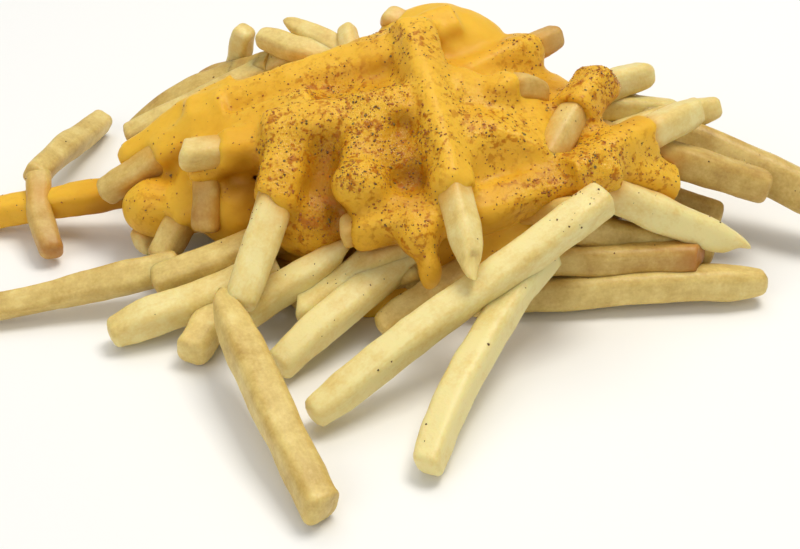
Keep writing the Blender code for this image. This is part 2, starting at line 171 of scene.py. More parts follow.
def vertex_rows(mesh: bpy.types.Mesh, kind: str) -> np.ndarray:
    """Reads the mesh's vertices.

    Args:
        mesh: The mesh.
        kind: Either co, for the places, or normal.

    Returns:
        Rows of three numbers.
    """
    flat = np.empty(len(mesh.vertices) * 3, np.float32)
    mesh.vertices.foreach_get(kind, flat)
    return flat.reshape(-1, 3).astype(float)


def skin_tree(obj: bpy.types.Object) -> BVHTree:
    """The object's faces, ready to be searched."""
    faces = [tuple(p.vertices) for p in obj.data.polygons]
    return BVHTree.FromPolygons(vertex_rows(obj.data, "co").tolist(), faces)


def put_places(mesh: bpy.types.Mesh, places: np.ndarray) -> None:
    """Moves the mesh's vertices to the rows of an array."""
    mesh.vertices.foreach_set("co", np.ascontiguousarray(places, np.float32).ravel())
    mesh.update()


def put_vectors(mesh: bpy.types.Mesh, name: str, rows: np.ndarray) -> None:
    """Writes rows of three numbers to the vertices, as an attribute that materials can read."""
    layer = mesh.attributes.get(name) or mesh.attributes.new(name, "FLOAT_VECTOR", "POINT")
    layer.data.foreach_set("vector", np.ascontiguousarray(rows, np.float32).ravel())


def relief(points: np.ndarray, size: float, seed: float) -> np.ndarray:
    """Smooth noise at each point.

    Args:
        points: Rows of three numbers, in millimetres.
        size: The width of a bump, in millimetres.
        seed: Picks the pattern.

    Returns:
        A number from about -1 to 1 for each point.
    """
    shift = Vector((17.31 * seed + 0.37, 9.13 * seed + 0.71, 4.77 * seed + 0.13))
    return np.array([noise.noise(Vector(p) + shift) for p in (points / size).tolist()])


def evened(mesh: bpy.types.Mesh, values: np.ndarray, rounds: int) -> np.ndarray:
    """Averages a value at each vertex with its neighbours', round after round.

    Args:
        mesh: The mesh.
        values: One number a vertex.
        rounds: How often.

    Returns:
        The averaged numbers.
    """
    ends = np.empty(len(mesh.edges) * 2, np.int32)
    mesh.edges.foreach_get("vertices", ends)
    first, second = ends.reshape(-1, 2).T
    count = len(values)
    neighbours = np.maximum(np.bincount(ends, minlength=count), 1)
    for _ in range(rounds):
        total = np.bincount(first, values[second], count) + np.bincount(second, values[first], count)
        values = (1 - EVENING) * values + EVENING * total / neighbours
    return values


def new_piece(name: str, mesh: bpy.types.Mesh) -> bpy.types.Object:
    """Puts a mesh into the scene as an object at the origin."""
    mesh.name = name
    obj = bpy.data.objects.new(name, mesh)
    bpy.context.scene.collection.objects.link(obj)
    return obj


def round_piece(segments: int, rings: int) -> bpy.types.Object:
    """A ball of unit radius, to be shaped further."""
    deselect_all()
    bpy.ops.mesh.primitive_uv_sphere_add(segments=segments, ring_count=rings, radius=1.0, calc_uvs=False)
    return bpy.context.view_layer.objects.active


def join_pieces(name: str, pieces: list[bpy.types.Object]) -> bpy.types.Object:
    """Joins objects into the first of them.

    Args:
        name: Name of the result.
        pieces: The objects, of which all but the first are used up.

    Returns:
        The joined object.
    """
    make_active(pieces[0])
    for piece in pieces:
        piece.select_set(True)
    bpy.ops.object.join()
    joined = bpy.context.view_layer.objects.active
    joined.name = name
    joined.data.name = name
    return joined


def apply_modifier(obj: bpy.types.Object, kind: str, **settings) -> None:
    """Adds a modifier with its settings and applies it at once."""
    make_active(obj)
    modifier = obj.modifiers.new("shape", kind)
    for name, value in settings.items():
        setattr(modifier, name, value)
    bpy.ops.object.modifier_apply(modifier=modifier.name)


def kept_inside(places: np.ndarray, room: float = 0.003) -> np.ndarray:
    """Draws in, ever more softly, what comes within a few millimetres of the solids' box.

    Args:
        places: Rows of three numbers, in metres and in the row frame.
        room: How far inside the box the drawing in starts, in metres.

    Returns:
        The rows, all inside the box.
    """
    low, high = np.array(cad_box[0]), np.array(cad_box[1])
    over = np.maximum(places - (high - room), 0)
    places = np.where(over > 0, high - room * np.exp(-over / room), places)
    under = np.maximum((low + room) - places, 0)
    drawn = np.where(under > 0, low + room * np.exp(-under / room), places)
    drawn[:, 2] = np.maximum(places[:, 2], 0.0)
    return drawn


def set_down(obj: bpy.types.Object, node: str, finish: bpy.types.Material) -> None:
    """Brings a finished piece into the row frame and dresses it.

    Args:
        obj: The piece, in millimetres as the tables have it.
        node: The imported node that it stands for.
        finish: Its material.
    """
    places = vertex_rows(obj.data, "co")
    places[:, 0] -= HEAP_MIDDLE[0]
    places[:, 1] -= HEAP_MIDDLE[1]
    put_places(obj.data, kept_inside(places * MM))
    obj.data.materials.clear()
    obj.data.materials.append(finish)
    make_active(obj)
    bpy.ops.object.shade_smooth()
    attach(obj, "root")
    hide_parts(node)
    triangles = sum(len(p.vertices) - 2 for p in obj.data.polygons)
    log.info("%s: %d triangles", obj.name, triangles)


# Fries


@dataclass(frozen=True)
class Fry:
    """A fry, by the middles of its two ends in millimetres, and how it is cut, bent and fried."""

    butt: tuple[float, float, float]
    tip: tuple[float, float, float]
    width: float = FRY_WIDTH
    roll: float = 0.0  # turn of the section about the fry, in degrees
    bow: float = 0.0  # rise of the fry's middle
    sway: float = 0.0  # sideways bend of the fry's middle
    butt_end: float = 1.0  # width of the butt as a share of the full width
    tip_end: float = 1.0  # a tip left at full width ends inside the heap, and isn't rounded
    slant: float = 0.0  # skew of both end cuts across the width
    taper: float = 0.0  # share of the width that is lost evenly from the tip to the butt
    coat: tuple[float, ...] = ()  # stretch under sauce, as shares of the length from the butt
    bare: bool = True  # a fry hidden all along by its coat has no bar of its own
    butt_cut: float = 0.0  # how much further the upper side of the butt reaches than the lower
    tip_cut: float = 0.0  # the same at the tip
    rim: float = 0.0  # how much nearer the butt the coat starts on the right side than on the left
    gold: float = 0.3  # 0 is the palest cream, 1 a deep gold; some fries that lie in shade are set deeper, as painted shade
    brown: tuple[float, float] = (0.0, 0.0)  # how browned the butt and the tip are

    def axes(self) -> tuple[Vector, float, Vector, Vector, Vector]:
        """The butt, the length, and the directions along, across and up the fry."""
        butt, tip = Vector(self.butt), Vector(self.tip)
        along = (tip - butt).normalized()
        across = Vector((0, 0, 1)).cross(along)
        across = across.normalized() if across.length > 0.05 else Vector((1, 0, 0))
        turn = Matrix.Rotation(math.radians(self.roll), 3, along)
        return butt, (tip - butt).length, along, turn @ across, turn @ along.cross(across)

    def width_at(self, share: np.ndarray, length: float) -> np.ndarray:
        """Width of the section along the fry.

        Args:
            share: Places along it, as shares of the length from the butt.
            length: Its length.

        Returns:
            The widths, as shares of the full width.
        """
        scale = 1.0 - self.taper * (1.0 - share)
        for end, distance in ((self.butt_end, share * length), (self.tip_end, (1 - share) * length)):
            run = np.clip(distance / TAPER_LENGTH, 0.0, 1.0)
            scale = scale * (end + (1 - end) * np.sqrt(run * (2 - run)))
        return scale


FRONT_FRIES = {
    "front_leg": Fry(
        (-16, -77, 4.7), (-42, -19, 17), 8.6,
        roll=8, bow=0.6, tip_end=0.4, slant=-1.5, gold=0.45, tip_cut=6,
    ),
    "right_leg": Fry(
        (5.8, -63, 4.3), (34.5, -7.5, 22.5), 8.0,
        roll=-10, sway=3.2, butt_end=0.9, taper=0.08, gold=0.0,
    ),
    "long_front": Fry(
        (-20, -46, 4.8), (49, -1, 35), 9.0,
        roll=12, bow=0.5, butt_end=0.72, tip_end=0.9, taper=0.08, gold=0.1,
    ),
    # front_prop is set a deeper gold as painted shade, for it lies in shade under long_front.
    "front_prop": Fry((44, -3, 32), (25, 12, 23), 7.2, roll=10, gold=0.6),
    "low_front": Fry((-29, -28, 4.5), (2, 1, 17), 8.4, roll=14, bow=0.6, butt_end=0.8, gold=0.05),
    "inner_front": Fry((-24, -12, 9.5), (6, 3, 23), 7.8, roll=5, slant=2.0, gold=0.2),
    "under_long": Fry((-5, -14, 5.5), (17, -1, 14), 7.4, roll=20, butt_end=0.7, gold=0.4),
    "short_point": Fry(
        (-38, -13, 8.5), (-14, -2, 20), 8.0,
        roll=10, bow=0.8, tip_end=0.4, gold=0.15, tip_cut=7,
    ),
}

LEFT_FRIES = {
    "left_reach": Fry(
        (-114, -7, 4.2), (-55, 5, 11), 8.8, 38, -0.8,
        butt_end=0.8, tip_end=0.8, taper=0.35, gold=0.45, brown=(0.35, 0),
    ),
    "left_low": Fry((-70, -15, 4.5), (-30, 0, 13), 8.8, roll=12, bow=0.4, butt_end=0.75, gold=0.15),
    "left_stub": Fry((-50, -23, 4.6), (-42, -1, 7), 8.8, roll=6, butt_end=0.85, gold=0.35),
    "left_cross": Fry((-61, 0, 9), (-28, 8, 19), 8.4, roll=16, butt_end=0.8, gold=0.45),
    "leaning": Fry(
        (-38, -19, 15.5), (-24.5, 20.8, 44), 8.8,
        roll=22, bow=0.6, butt_end=0.8, tip_end=0.85, coat=(0.52, 1.0), gold=0.15, rim=7,
    ),
    "left_wall": Fry((-61, 10.5, 8.5), (-49, 27, 24.5), 7.8, butt_end=0.85, coat=(0.45, 1.0), gold=0.5),
    "left_window": Fry(
        (-48.5, 10, 17.5), (-47, 22, 36), 7.4,
        butt_end=0.85, coat=(0.62, 1.0), gold=0.7, brown=(0.3, 0),
    ),
    "left_shelf": Fry((-53.5, 15, 36.8), (-28, 20, 37), 7.4, roll=12, slant=1.0, coat=(0.4, 1.0)),
    "left_edge": Fry(
        (-77.5, 31, 15.5), (-44, 34, 37.5), 7.6,
        roll=24, butt_end=0.85, coat=(0.5, 1.0), gold=0.5,
    ),
    "left_sauced": Fry(
        (-117, 37, 4.4), (-60, 38, 15), 5.8,
        roll=10, taper=0.15, coat=(0.0, 1.0), gold=0.5,
    ),
    "left_prop": Fry((-65, 34, 17), (-34, 34, 31), 7.6, roll=10, gold=0.6),
    "left_short": Fry(
        (-90, 20, 4.2), (-97, 43, 13), 6.8, 4, sway=1.2,
        butt_end=0.9, gold=0.45, brown=(0.8, 0),
    ),
    "left_far": Fry(
        (-98, 42, 14), (-88, 90, 4.2), 7.2,
        roll=30, sway=0.4, butt_end=0.85, tip_end=0.9, gold=0.45,
    ),
}

BACK_FRIES = {
    # back_broad and back_pale are set a deeper gold as painted shade, for where they lie in shade.
    "back_broad": Fry((-75, 64, 13), (-40, 68, 31), 9.4, roll=20, bow=2.8, butt_end=0.6, gold=0.6),
    "back_pale": Fry((-74, 54, 19), (-19, 65, 43), 7.4, roll=15, tip_end=0.3, gold=0.4),
    "back_brown": Fry((-56, 74, 25), (-34, 62, 37), 7.4, roll=20, butt_end=0.7, gold=0.7, brown=(0.5, 0)),
    "back_upright": Fry((-49, 77, 20), (-42, 71, 43.5), 6.2, roll=12, tip_end=0.8, gold=0.25),
    "back_oval": Fry((-38, 64, 44.5), (-14, 52, 42), 6.8, roll=20, bow=0.4, butt_end=0.6),
    "back_wedge": Fry((-29, 66, 47), (-8, 52, 43), 6.8, roll=30, butt_end=0.4, gold=0.25, butt_cut=5),
    "back_nub": Fry((-14, 60, 49.5), (-11, 42, 43), 6.2, roll=40, butt_end=0.6, gold=0.2),
    "back_top": Fry((-4, 62, 52), (11, 53, 44.5), 7.2, roll=20, butt_end=0.7, coat=(0.5, 1.0), gold=0.2),
    "back_prop": Fry((-62, 74, 15), (-18, 50, 40), 8.4, roll=20, butt_end=0.8, gold=0.5),
}

RIGHT_FRIES = {
    "right_knob": Fry(
        (42, 60, 47), (18, 42, 44), 7.6, 20,
        butt_end=0.7, coat=(0.32, 1.0), gold=0.4, brown=(0.7, 0),
    ),
    "right_curl": Fry(
        (36.5, 32, 44.5), (22, 25, 47.5), 6.8,
        roll=15, bow=2.5, butt_end=0.8, tip_end=0.85, coat=(0.66, 1.0), gold=0.5,
    ),
    "right_lean": Fry(
        (50.6, 36.7, 46), (35.5, 12, 37), 8.0,
        roll=25, bow=0.6, coat=(0.0, 0.42), gold=0.4,
    ),
    "right_square": Fry((65.5, 57, 37), (36, 40, 36), 8.4, roll=18, butt_end=0.8, slant=-1.5, gold=0.15),
    "right_behind": Fry((74, 52, 28), (36, 46, 35), 8.0, roll=15, butt_end=0.8),
    "right_bridge": Fry(
        (77, 37, 38), (42, 7, 36), 7.8, 20,
        butt_end=0.7, slant=2.0, coat=(0.42, 1.0), gold=0.15,
    ),
    "right_round": Fry((85, 52, 30), (50, 40, 25), 8.2, roll=30, butt_end=0.65),
    "right_reach": Fry(
        (113, 29, 13), (48, 58, 31), 10.4,
        roll=28, bow=0.6, butt_end=0.85, taper=-0.1, gold=0.55,
    ),
    "right_gold": Fry(
        (94.5, 27, 20), (44, 29, 36), 9.0,
        roll=16, butt_end=0.85, gold=0.62, brown=(0.2, 0),
    ),
    "right_under": Fry((84, 29, 10), (44, 34, 20), 8.2, roll=35, butt_end=0.8, gold=0.6),
    "right_point": Fry(
        (85, 11, 12.5), (44, 10, 32), 8.9,
        roll=16, bow=0.4, butt_end=0.3, gold=0.0, butt_cut=7,
    ),
    "right_mid": Fry((79, 12, 10), (34, 9, 22), 7.8, roll=10, butt_end=0.7, gold=0.5),
    "right_browned": Fry(
        (75, 6, 13), (18, 4, 13), 7.8,
        roll=10, butt_end=0.9, slant=1.5, gold=0.55, brown=(1.0, 0),
    ),
    "right_thin": Fry((77, 9, 6), (26, 6, 6), 7.2, roll=20, butt_end=0.7, gold=0.45),
    "right_low": Fry((92, 5, 6), (18, -1, 5), 8.4, roll=10, bow=0.6, butt_end=0.55, gold=0.4),
}


def sunk(butt: tuple, tip: tuple, width: float, **shape) -> Fry:
    """A fry that its coat hides all along."""
    return Fry(butt, tip, width, coat=(0.0, 1.0), bare=False, **shape)


SAUCED_FRIES = {
    "ridge": Fry(
        (16.8, -23.3, 29.8), (3, 44, 56), 8.2,
        roll=32, bow=0.8, butt_end=0.35, taper=0.12, coat=(0.3, 1.0), gold=0.2, butt_cut=-6, rim=-2,
    ),
    "low_ridge": sunk((-71.5, 37, 22.5), (-42, 41, 39.5), 6.6, roll=20, butt_end=0.5),
    "high_ridge": sunk((-53, 36, 35), (2, 42, 51), 7.8, roll=20, bow=0.6),
    "top_ridge": sunk((-18, 40, 46), (13, 53, 53), 7.6, roll=20),
    "bulb": sunk((-9.5, 4, 36), (-7, 21, 46.5), 8.6, roll=10),
    "tongue_bar": Fry((-14, -4, 26.5), (11, -4, 31.5), 7.4, roll=18, bow=1.0, coat=(0.14, 1.0), gold=0.4),
    "right_sheet": sunk((12, 28, 48), (36, 25, 38), 8.4, roll=15),
    "right_hem": sunk((17, -1, 30), (51, 11, 35), 7.6, roll=20),
    "right_fold": sunk((44, 14, 35), (67, 20, 25), 7.6, roll=20, bow=1.5),
    "mid_sheet": sunk((-32, 17, 42), (0, 20, 47), 7.6, roll=20),
    "left_rise": sunk((-50, 28, 31), (-22, 24, 44), 7.6, roll=20),
}


@dataclass(frozen=True)
class HeapCore:
    """The lumpy middle of the heap, on which the outer fries lie."""

    centre: tuple[float, float] = (4.0, 35.0)
    radii: tuple[float, float, float] = (50.0, 40.0, 45.0)
    square: float = 3.0  # 2 gives an egg; more than that, steeper flanks and a flatter top
    lump: float = 1.6  # height of the broad lumps

    def point(self, azimuth: float, rise: float, grow: float = 0.0) -> Vector:
        """A point on the core's skin.

        Args:
            azimuth: Its direction round the core, in radians.
            rise: Its angle above the floor, in radians.
            grow: How far outside the skin it lies.

        Returns:
            The point.
        """
        lump = self.lump * (math.sin(3 * azimuth + 0.6) * math.cos(4 * rise) + math.sin(5 * azimuth))
        level, height = math.cos(rise), math.sin(rise)
        swell = (level**self.square + height**self.square) ** (-1 / self.square)
        more = lump * level + grow
        return Vector(
            (
                self.centre[0] + (self.radii[0] * swell + more) * math.cos(azimuth) * level,
                self.centre[1] + (self.radii[1] * swell + more) * math.sin(azimuth) * level,
                (self.radii[2] * swell + more) * height,
            )
        )


@dataclass(frozen=True)
class Fillers:
    """Fries round the back and flanks, each leaning from the floor on the core."""

    seed: int = 11
    count: int = 24
    arc: tuple[float, float] = (12.0, 156.0)  # start of the row round the core and its run, in degrees
    rises: tuple[float, ...] = (24, 44, 12)  # how high each layer leans on the core, in degrees
    drops: tuple[float, ...] = (0.34, 0.5, 0.12)  # how far each layer falls, as a share of the length
    head_out: float = -2.0  # how far outside the core's skin the head lies
    head_up: float = 3.0  # and how far above that point
    reach: float = 0.6  # share of the level length that the foot stands off the head
    widths: tuple[float, float] = (7.4, 9.2)
    lengths: tuple[float, float] = (42, 66)
    floor_room: float = 0.6  # between the lowest fry and the floor

    def fries(self, core: HeapCore) -> dict[str, Fry]:
        """The leaning fries, laid by a seeded rule.

        Args:
            core: What they lean on.

        Returns:
            The fries by name.
        """
        draw = random.Random(self.seed)
        found = {}
        for k in range(self.count):
            turn = self.arc[0] + self.arc[1] * (k + 0.5) / self.count
            azimuth = math.radians(turn + draw.uniform(-4, 4))
            layer = k % 3
            rise = math.radians(self.rises[layer] + draw.uniform(-7, 7))
            head = core.point(azimuth, rise, self.head_out)
            head.z += self.head_up
            heading = azimuth + math.radians(draw.uniform(-62, 62))
            length = draw.uniform(*self.lengths)
            drop = min(head.z - FRY_WIDTH / 2, length * self.drops[layer])
            reach = math.sqrt(length * length - drop * drop) * self.reach
            foot = (
                head.x + reach * math.cos(heading),
                head.y + reach * math.sin(heading),
                max(head.z - drop, FRY_WIDTH / 2 + self.floor_room),
            )
            found[f"filler_{k}"] = Fry(
                foot,
                tuple(head),
                draw.uniform(*self.widths),
                roll=draw.uniform(-40, 40),
                bow=draw.uniform(-1.5, 2.0),
                sway=draw.uniform(-2.0, 2.0),
                butt_end=draw.choice((0.45, 0.8, 0.9, 0.9)),
                gold=0.15 + 0.6 * ((k * 7) % 10) / 10,
                brown=(0.5 * (k % 4 == 1), 0.0),
            )
        return found


@dataclass
class PotatoCutter:
    """Cuts the straight bar of unit size that every fry and coat is shaped from."""

    corner: float = 0.33  # share of the width that each long edge's rounding takes
    corner_steps: int = 5
    face_cuts: int = 1
    stations: int = 50
    cap_rings: tuple[float, ...] = (0.05, 0.11, 0.13)  # widths of the rings on each cut end

    def bar(self, name: str) -> bpy.types.Object:
        """A rounded square bar along X, one unit long and wide, with closed ends in rings, which the shaper
        domes.

        Args:
            name: Name of the object.

        Returns:
            The bar.
        """
        deselect_all()
        bpy.ops.mesh.primitive_cube_add(size=1.0, calc_uvs=False)
        bar = bpy.context.view_layer.objects.active
        bar.name = name
        bpy.ops.object.mode_set(mode="EDIT")
        select_where(bar, "EDGE", lambda e: abs(e.verts[0].co.x - e.verts[1].co.x) > 0.5)
        bpy.ops.mesh.bevel(offset=self.corner, segments=self.corner_steps, affect="EDGES")
        widest = 1 - 2 * self.corner
        select_where(bar, "EDGE", lambda e: abs(e.calc_length() - widest) < 0.02)
        bpy.ops.mesh.subdivide(number_cuts=self.face_cuts)
        select_where(bar, "EDGE", lambda e: e.calc_length() > 0.99)
        bpy.ops.mesh.subdivide(number_cuts=self.stations)
        for depth in self.cap_rings:
            select_where(bar, "FACE", lambda f: len(f.verts) > 4)
            bpy.ops.mesh.inset(thickness=depth, use_boundary=True)
        select_where(bar, "FACE", lambda f: len(f.verts) > 4)
        bpy.ops.mesh.poke()
        bpy.ops.object.mode_set(mode="OBJECT")
        return bar


@dataclass(frozen=True)
class Unevenness:
    """How a fry strays from a straight bar, in millimetres where nothing else is said."""

    crowding: float = 0.09  # how far the sections crowd towards the ends, as a share of the length
    rim_fade: tuple[float, float] = (12.0, 6.0)  # the rim's wandering dies out over these, near and far
    rim_width: float = 9.0  # width that the wandering is measured on round the rim
    rim_tongues: tuple[float, float] = (3.4, 1.5)  # widths of its large and small tongues
    end_cut: float = 1.4  # depth to which a bare end is rounded off
    swell: float = 0.09  # change of width, as a share of it
    swell_length: float = 22.0
    bends: float = 2.3  # how many bends a fry has along it
    wander: float = 1.2  # how far they go sideways
    lift: float = 0.8  # and up and down
    twist: float = math.radians(14)
    bumps: tuple[tuple[float, float], ...] = ((0.30, 12.0), (0.17, 4.6), (0.06, 1.9))  # height and width
    dip: float = 0.30  # depth to which a dried face sinks
    dip_length: float = 14.0
    quiet_end: float = 2.5  # the bumps fade over this length before an end
    dome: float = 0.35  # how far a cut end's middle stands out
    browning: float = 9.0  # length over which a browned end fades


@dataclass
class FryShaper:
    """Bends, rounds and roughens the unit bar into one fry after another."""

    bar: bpy.types.Object
    uneven: Unevenness = field(default_factory=Unevenness)
    part: np.ndarray = field(init=False)  # place along the unit bar, from 0 to 1
    side: np.ndarray = field(init=False)  # place across it
    top: np.ndarray = field(init=False)  # place up it

    def __post_init__(self) -> None:
        """Reads the unit bar's vertices."""
        rows = vertex_rows(self.bar.data, "co")
        self.part, self.side, self.top = rows[:, 0] + 0.5, rows[:, 1], rows[:, 2]

    def ragged_rim(
        self, fry: Fry, seed: int, run: np.ndarray, start: float, stop: float, ragged: float
    ) -> np.ndarray:
        """Moves the near end of a coat to and fro, less and less behind its rim.

        Args:
            fry: The coated fry.
            seed: Picks the rim's tongues.
            run: How far along the fry each vertex lies.
            start: Where the coat starts along the fry.
            stop: Where it stops.
            ragged: How far the rim wanders.

        Returns:
            How far along the fry each vertex lies now.
        """
        behind, before = self.uneven.rim_fade
        fade = np.clip(1 - (run - start) / behind, 0, 1) * np.clip((stop - run) / before, 0, 1)
        width = self.uneven.rim_width
        rim = np.stack([self.side * width, self.top * width, np.full(len(run), seed * 3.7)], 1)
        large, small = self.uneven.rim_tongues
        run = run + ragged * fade * (relief(rim, large, seed) + 0.5 * relief(rim, small, seed + 2))
        return run + fry.rim * fade * self.side

    def bumps(self, local: np.ndarray, seed: int, bare: bool) -> np.ndarray:
        """How far the skin stands out: uneven all over, and sunk where a bare face has dried.

        Args:
            local: Each vertex along, across and up the fry.
            seed: Picks the unevenness.
            bare: Whether this is a fry and not a coat.

        Returns:
            The height at each vertex.
        """
        side, top, uneven = self.side, self.top, self.uneven
        found = sum(height * relief(local, width, seed) for height, width in uneven.bumps)
        flat = 1 - (2 * np.minimum(abs(side), abs(top))) ** 2
        faces = np.stack([local[:, 0], np.sign(side) * (abs(side) > abs(top)) * 40, np.sign(top) * 30], 1)
        dried = np.clip(0.5 + 0.8 * relief(faces, uneven.dip_length, seed), 0, 1)
        return found - uneven.dip * flat * dried * bare

    def end_skew(self, fry: Fry, bare: bool) -> np.ndarray:
        """How far the ends' cuts move each vertex along the fry."""
        part, top = self.part, self.top
        skew = fry.slant * self.side * 2 * (2 * abs(part - 0.5)) ** 6
        if bare:
            skew = skew - fry.butt_cut * top * np.clip(1 - 2 * part, 0, 1) ** 4
            skew = skew + fry.tip_cut * top * np.clip(2 * part - 1, 0, 1) ** 4
        return skew

    def shape(
        self,
        name: str,
        fry: Fry,
        seed: int,
        span: tuple[float, float] = (0.0, 1.0),
        grow: float = 0.0,
        ragged: float = 0.0,
        rough: float = 1.0,
    ) -> bpy.types.Object:
        """Copies the unit bar and shapes the copy into a fry, or into a coat round one.

        Args:
            name: Name of the new object.
            fry: The fry.
            seed: Picks its unevenness; a fry and its coat share one.
            span: The stretch of the fry, as shares of its length from the butt.
            grow: Thickness added all round.
            ragged: How far the near end's rim wanders to and fro.
            rough: Strength of the surface's unevenness.

        Returns:
            The new object, in millimetres.
        """
        uneven, part, side, top, bare = self.uneven, self.part, self.side, self.top, grow == 0.0
        butt, length, along, across, up = fry.axes()
        start, stop = span[0] * length - grow, span[1] * length + grow
        run = start + (part - uneven.crowding * np.sin(2 * math.pi * part)) * (stop - start)
        if ragged:
            run = self.ragged_rim(fry, seed, run, start, stop, ragged)
        share = np.clip(run / length, 0.0, 1.0)

        # Rounded ends, and the widths of the section with its swells.
        near = run - start
        if fry.tip_end < 1.0:
            near = np.minimum(near, stop - run)
        rounding = min(END_ROUND + grow, 0.3 * (stop - start))
        arc = np.sqrt(1 - (1 - np.clip(near / rounding, 0, 1)) ** 2)
        cut = min(rounding * 0.8, uneven.end_cut + 0.5 * grow)
        shrink = 1 - cut / (0.5 * fry.width + grow) * (1 - arc)
        bend = np.stack([share * uneven.bends, np.zeros_like(share), np.full_like(share, seed)], 1)
        swell = 1 + uneven.swell * relief(bend * (length / uneven.swell_length), 1.0, seed + 0.57)
        half = 0.5 * fry.width * fry.width_at(share, length) * swell
        wide = side * 2 * (half + grow) * shrink
        high = top * 2 * (half + grow) * shrink

        # Bends and twist, none at the two ends, which keep the places that the tables give.
        window = 4 * share * (1 - share)
        wander = uneven.wander * window * relief(bend, 1.0, seed + 0.31)
        lift = uneven.lift * window * relief(bend, 1.0, seed + 0.73)
        twist = uneven.twist * window * relief(bend, 1.0, seed + 0.11)
        cosine, sine = np.cos(twist), np.sin(twist)
        wide, high = wide * cosine - high * sine, wide * sine + high * cosine

        # The uneven skin, raised outwards, with a slight dome on each cut end.
        skin = np.maximum(abs(side), abs(top)) > 0.36
        local = np.stack([run, wide, high], 1)
        height = rough * skin * self.bumps(local, seed, bare) * np.clip(near / uneven.quiet_end, 0.35, 1)
        out = np.stack([side**3, top**3], 1)
        out /= np.maximum(np.linalg.norm(out, axis=1, keepdims=True), 1e-9)
        wide, high = wide + out[:, 0] * height, high + out[:, 1] * height
        dome = np.where(skin, 0.0, uneven.dome * (1 - (2 * np.hypot(side, top)) ** 2)) * np.sign(part - 0.5)

        arch = 1 - (2 * share - 1) ** 2
        places = np.array(butt) + np.outer(run + self.end_skew(fry, bare) + dome, along)
        places += np.outer(wide + wander + fry.sway * arch, across) + np.outer(high + lift, up)
        places[:, 2] += fry.bow * arch
        places[:, 2] = np.maximum(places[:, 2], FLOOR_GAP + 0.15 * (places[:, 2] < 0.6) - grow)

        mesh = self.bar.data.copy()
        put_places(mesh, places)
        far = np.maximum(length - run, 0)
        burn = fry.brown[0] * np.exp(-np.maximum(run, 0) / uneven.browning)
        burn = burn + fry.brown[1] * np.exp(-far / uneven.browning)
        corner = np.clip((2 * np.minimum(abs(side), abs(top)) - 0.45) / 0.4, 0, 1)
        put_vectors(mesh, "grain", local + seed * 61.7)
        put_vectors(mesh, "tone", np.stack([np.full_like(run, fry.gold), burn, corner], 1))
        return new_piece(name, mesh)


@dataclass
class Fries:
    """Every fry that shows, as bars that are joined into meshes later."""

    core: HeapCore
    buried_seed: int = 5
    buried: int = 60
    buried_out: float = -3.4  # how far outside the core's skin a buried fry's middle lies
    placed: dict[str, Fry] = field(default_factory=dict)
    seeds: dict[str, int] = field(default_factory=dict)

    def __post_init__(self) -> None:
        """Gathers the placed fries and gives each a seed of its own."""
        for group in (FRONT_FRIES, LEFT_FRIES, BACK_FRIES, RIGHT_FRIES, SAUCED_FRIES):
            self.placed.update(group)
        self.seeds = {name: k + 1 for k, name in enumerate(self.placed)}

    def bars(self, shaper: FryShaper, coarse: FryShaper) -> list[bpy.types.Object]:
        """The bars of the listed fries, and coarser ones for those that lean at the back.

        Args:
            shaper: Shapes the fine bars.
            coarse: Shapes the others.

        Returns:
            One object a fry.
        """
        found = []
        for name, fry in self.placed.items():
            if fry.bare:
                found.append(shaper.shape(name + "_bar", fry, self.seeds[name]))
        for k, (name, fry) in enumerate(Fillers().fries(self.core).items()):
            found.append(coarse.shape(name + "_bar", fry, 100 + k))
        return found

    def buried_bars(self, plain: FryShaper) -> list[bpy.types.Object]:
        """Bars sunk into the core's skin, so that the gaps show fries and not a smooth dome.

        Args:
            plain: Shapes the bars.

        Returns:
            One object a bar.
        """
        draw = random.Random(self.buried_seed)
        out = self.buried_out
        found = []
        for k in range(self.buried):
            azimuth = 2 * math.pi * (k * 0.618034 % 1.0)
            rise = math.asin(0.05 + 0.5 * (k + 0.5) / self.buried)
            middle = self.core.point(azimuth, rise, out)
            side = self.core.point(azimuth + 0.04, rise, out) - middle
            over = self.core.point(azimuth, rise + 0.04, out) - middle
            turn = draw.uniform(0, math.pi)
            if math.sin(azimuth) < -0.3 and rise > 0.22:
                continue  # the front gaps are full of sauce above the lowest fries
            way = (side.normalized() * math.cos(turn) + over.normalized() * math.sin(turn)).normalized()
            reach = draw.uniform(9, 17)
            ends = [middle - way * reach, middle + way * reach]
            for end in ends:
                end.z = max(end.z, 4.5)
            fry = Fry(
                tuple(ends[0]),
                tuple(ends[1]),
                draw.uniform(7.2, 8.8),
                roll=draw.uniform(-45, 45),
                bow=draw.uniform(0.0, 2.0),
                butt_end=0.8,
                tip_end=0.8,
                # A deeper tone than the outer fries, as painted shade for the gaps deep in the heap.
                gold=draw.uniform(0.5, 0.9),
            )
            found.append(plain.shape(f"buried_{k}", fry, 200 + k))
        return found


# Sauce


@dataclass(frozen=True)
class Lobe:
    """A pool or drip of sauce that follows no fry."""

    middle: tuple[float, float, float]
    radii: tuple[float, float, float]


SAUCE_LOBES = {
    "dollop": Lobe((10.5, 57, 41), (19, 15, 15)),
    "left_lobe": Lobe((-61.8, 25, 15), (10.2, 7.5, 8)),
    "tongue": Lobe((4.5, -9.5, 28.5), (5, 4.5, 5)),
    "tongue_end": Lobe((7.2, -13.5, 22), (3.1, 3.2, 5.5)),
    "valley_floor": Lobe((4, 0, 31), (7, 5, 5)),
    "pool": Lobe((-21, 4, 23), (10, 7, 9)),
    "recess": Lobe((-38.5, 16, 18.5), (13, 6, 10)),
    "bulb_end": Lobe((-9.3, 0.2, 37.5), (7.2, 6, 6.3)),
    "right_joint": Lobe((46, 23, 37.5), (6, 5, 4)),
    "right_lobe": Lobe((60, 20, 27), (8, 7, 7)),
    "back_lobe": Lobe((-14, 60, 28), (15, 9, 12)),
    "back_right_lobe": Lobe((30, 60, 28), (12, 8, 12)),
}


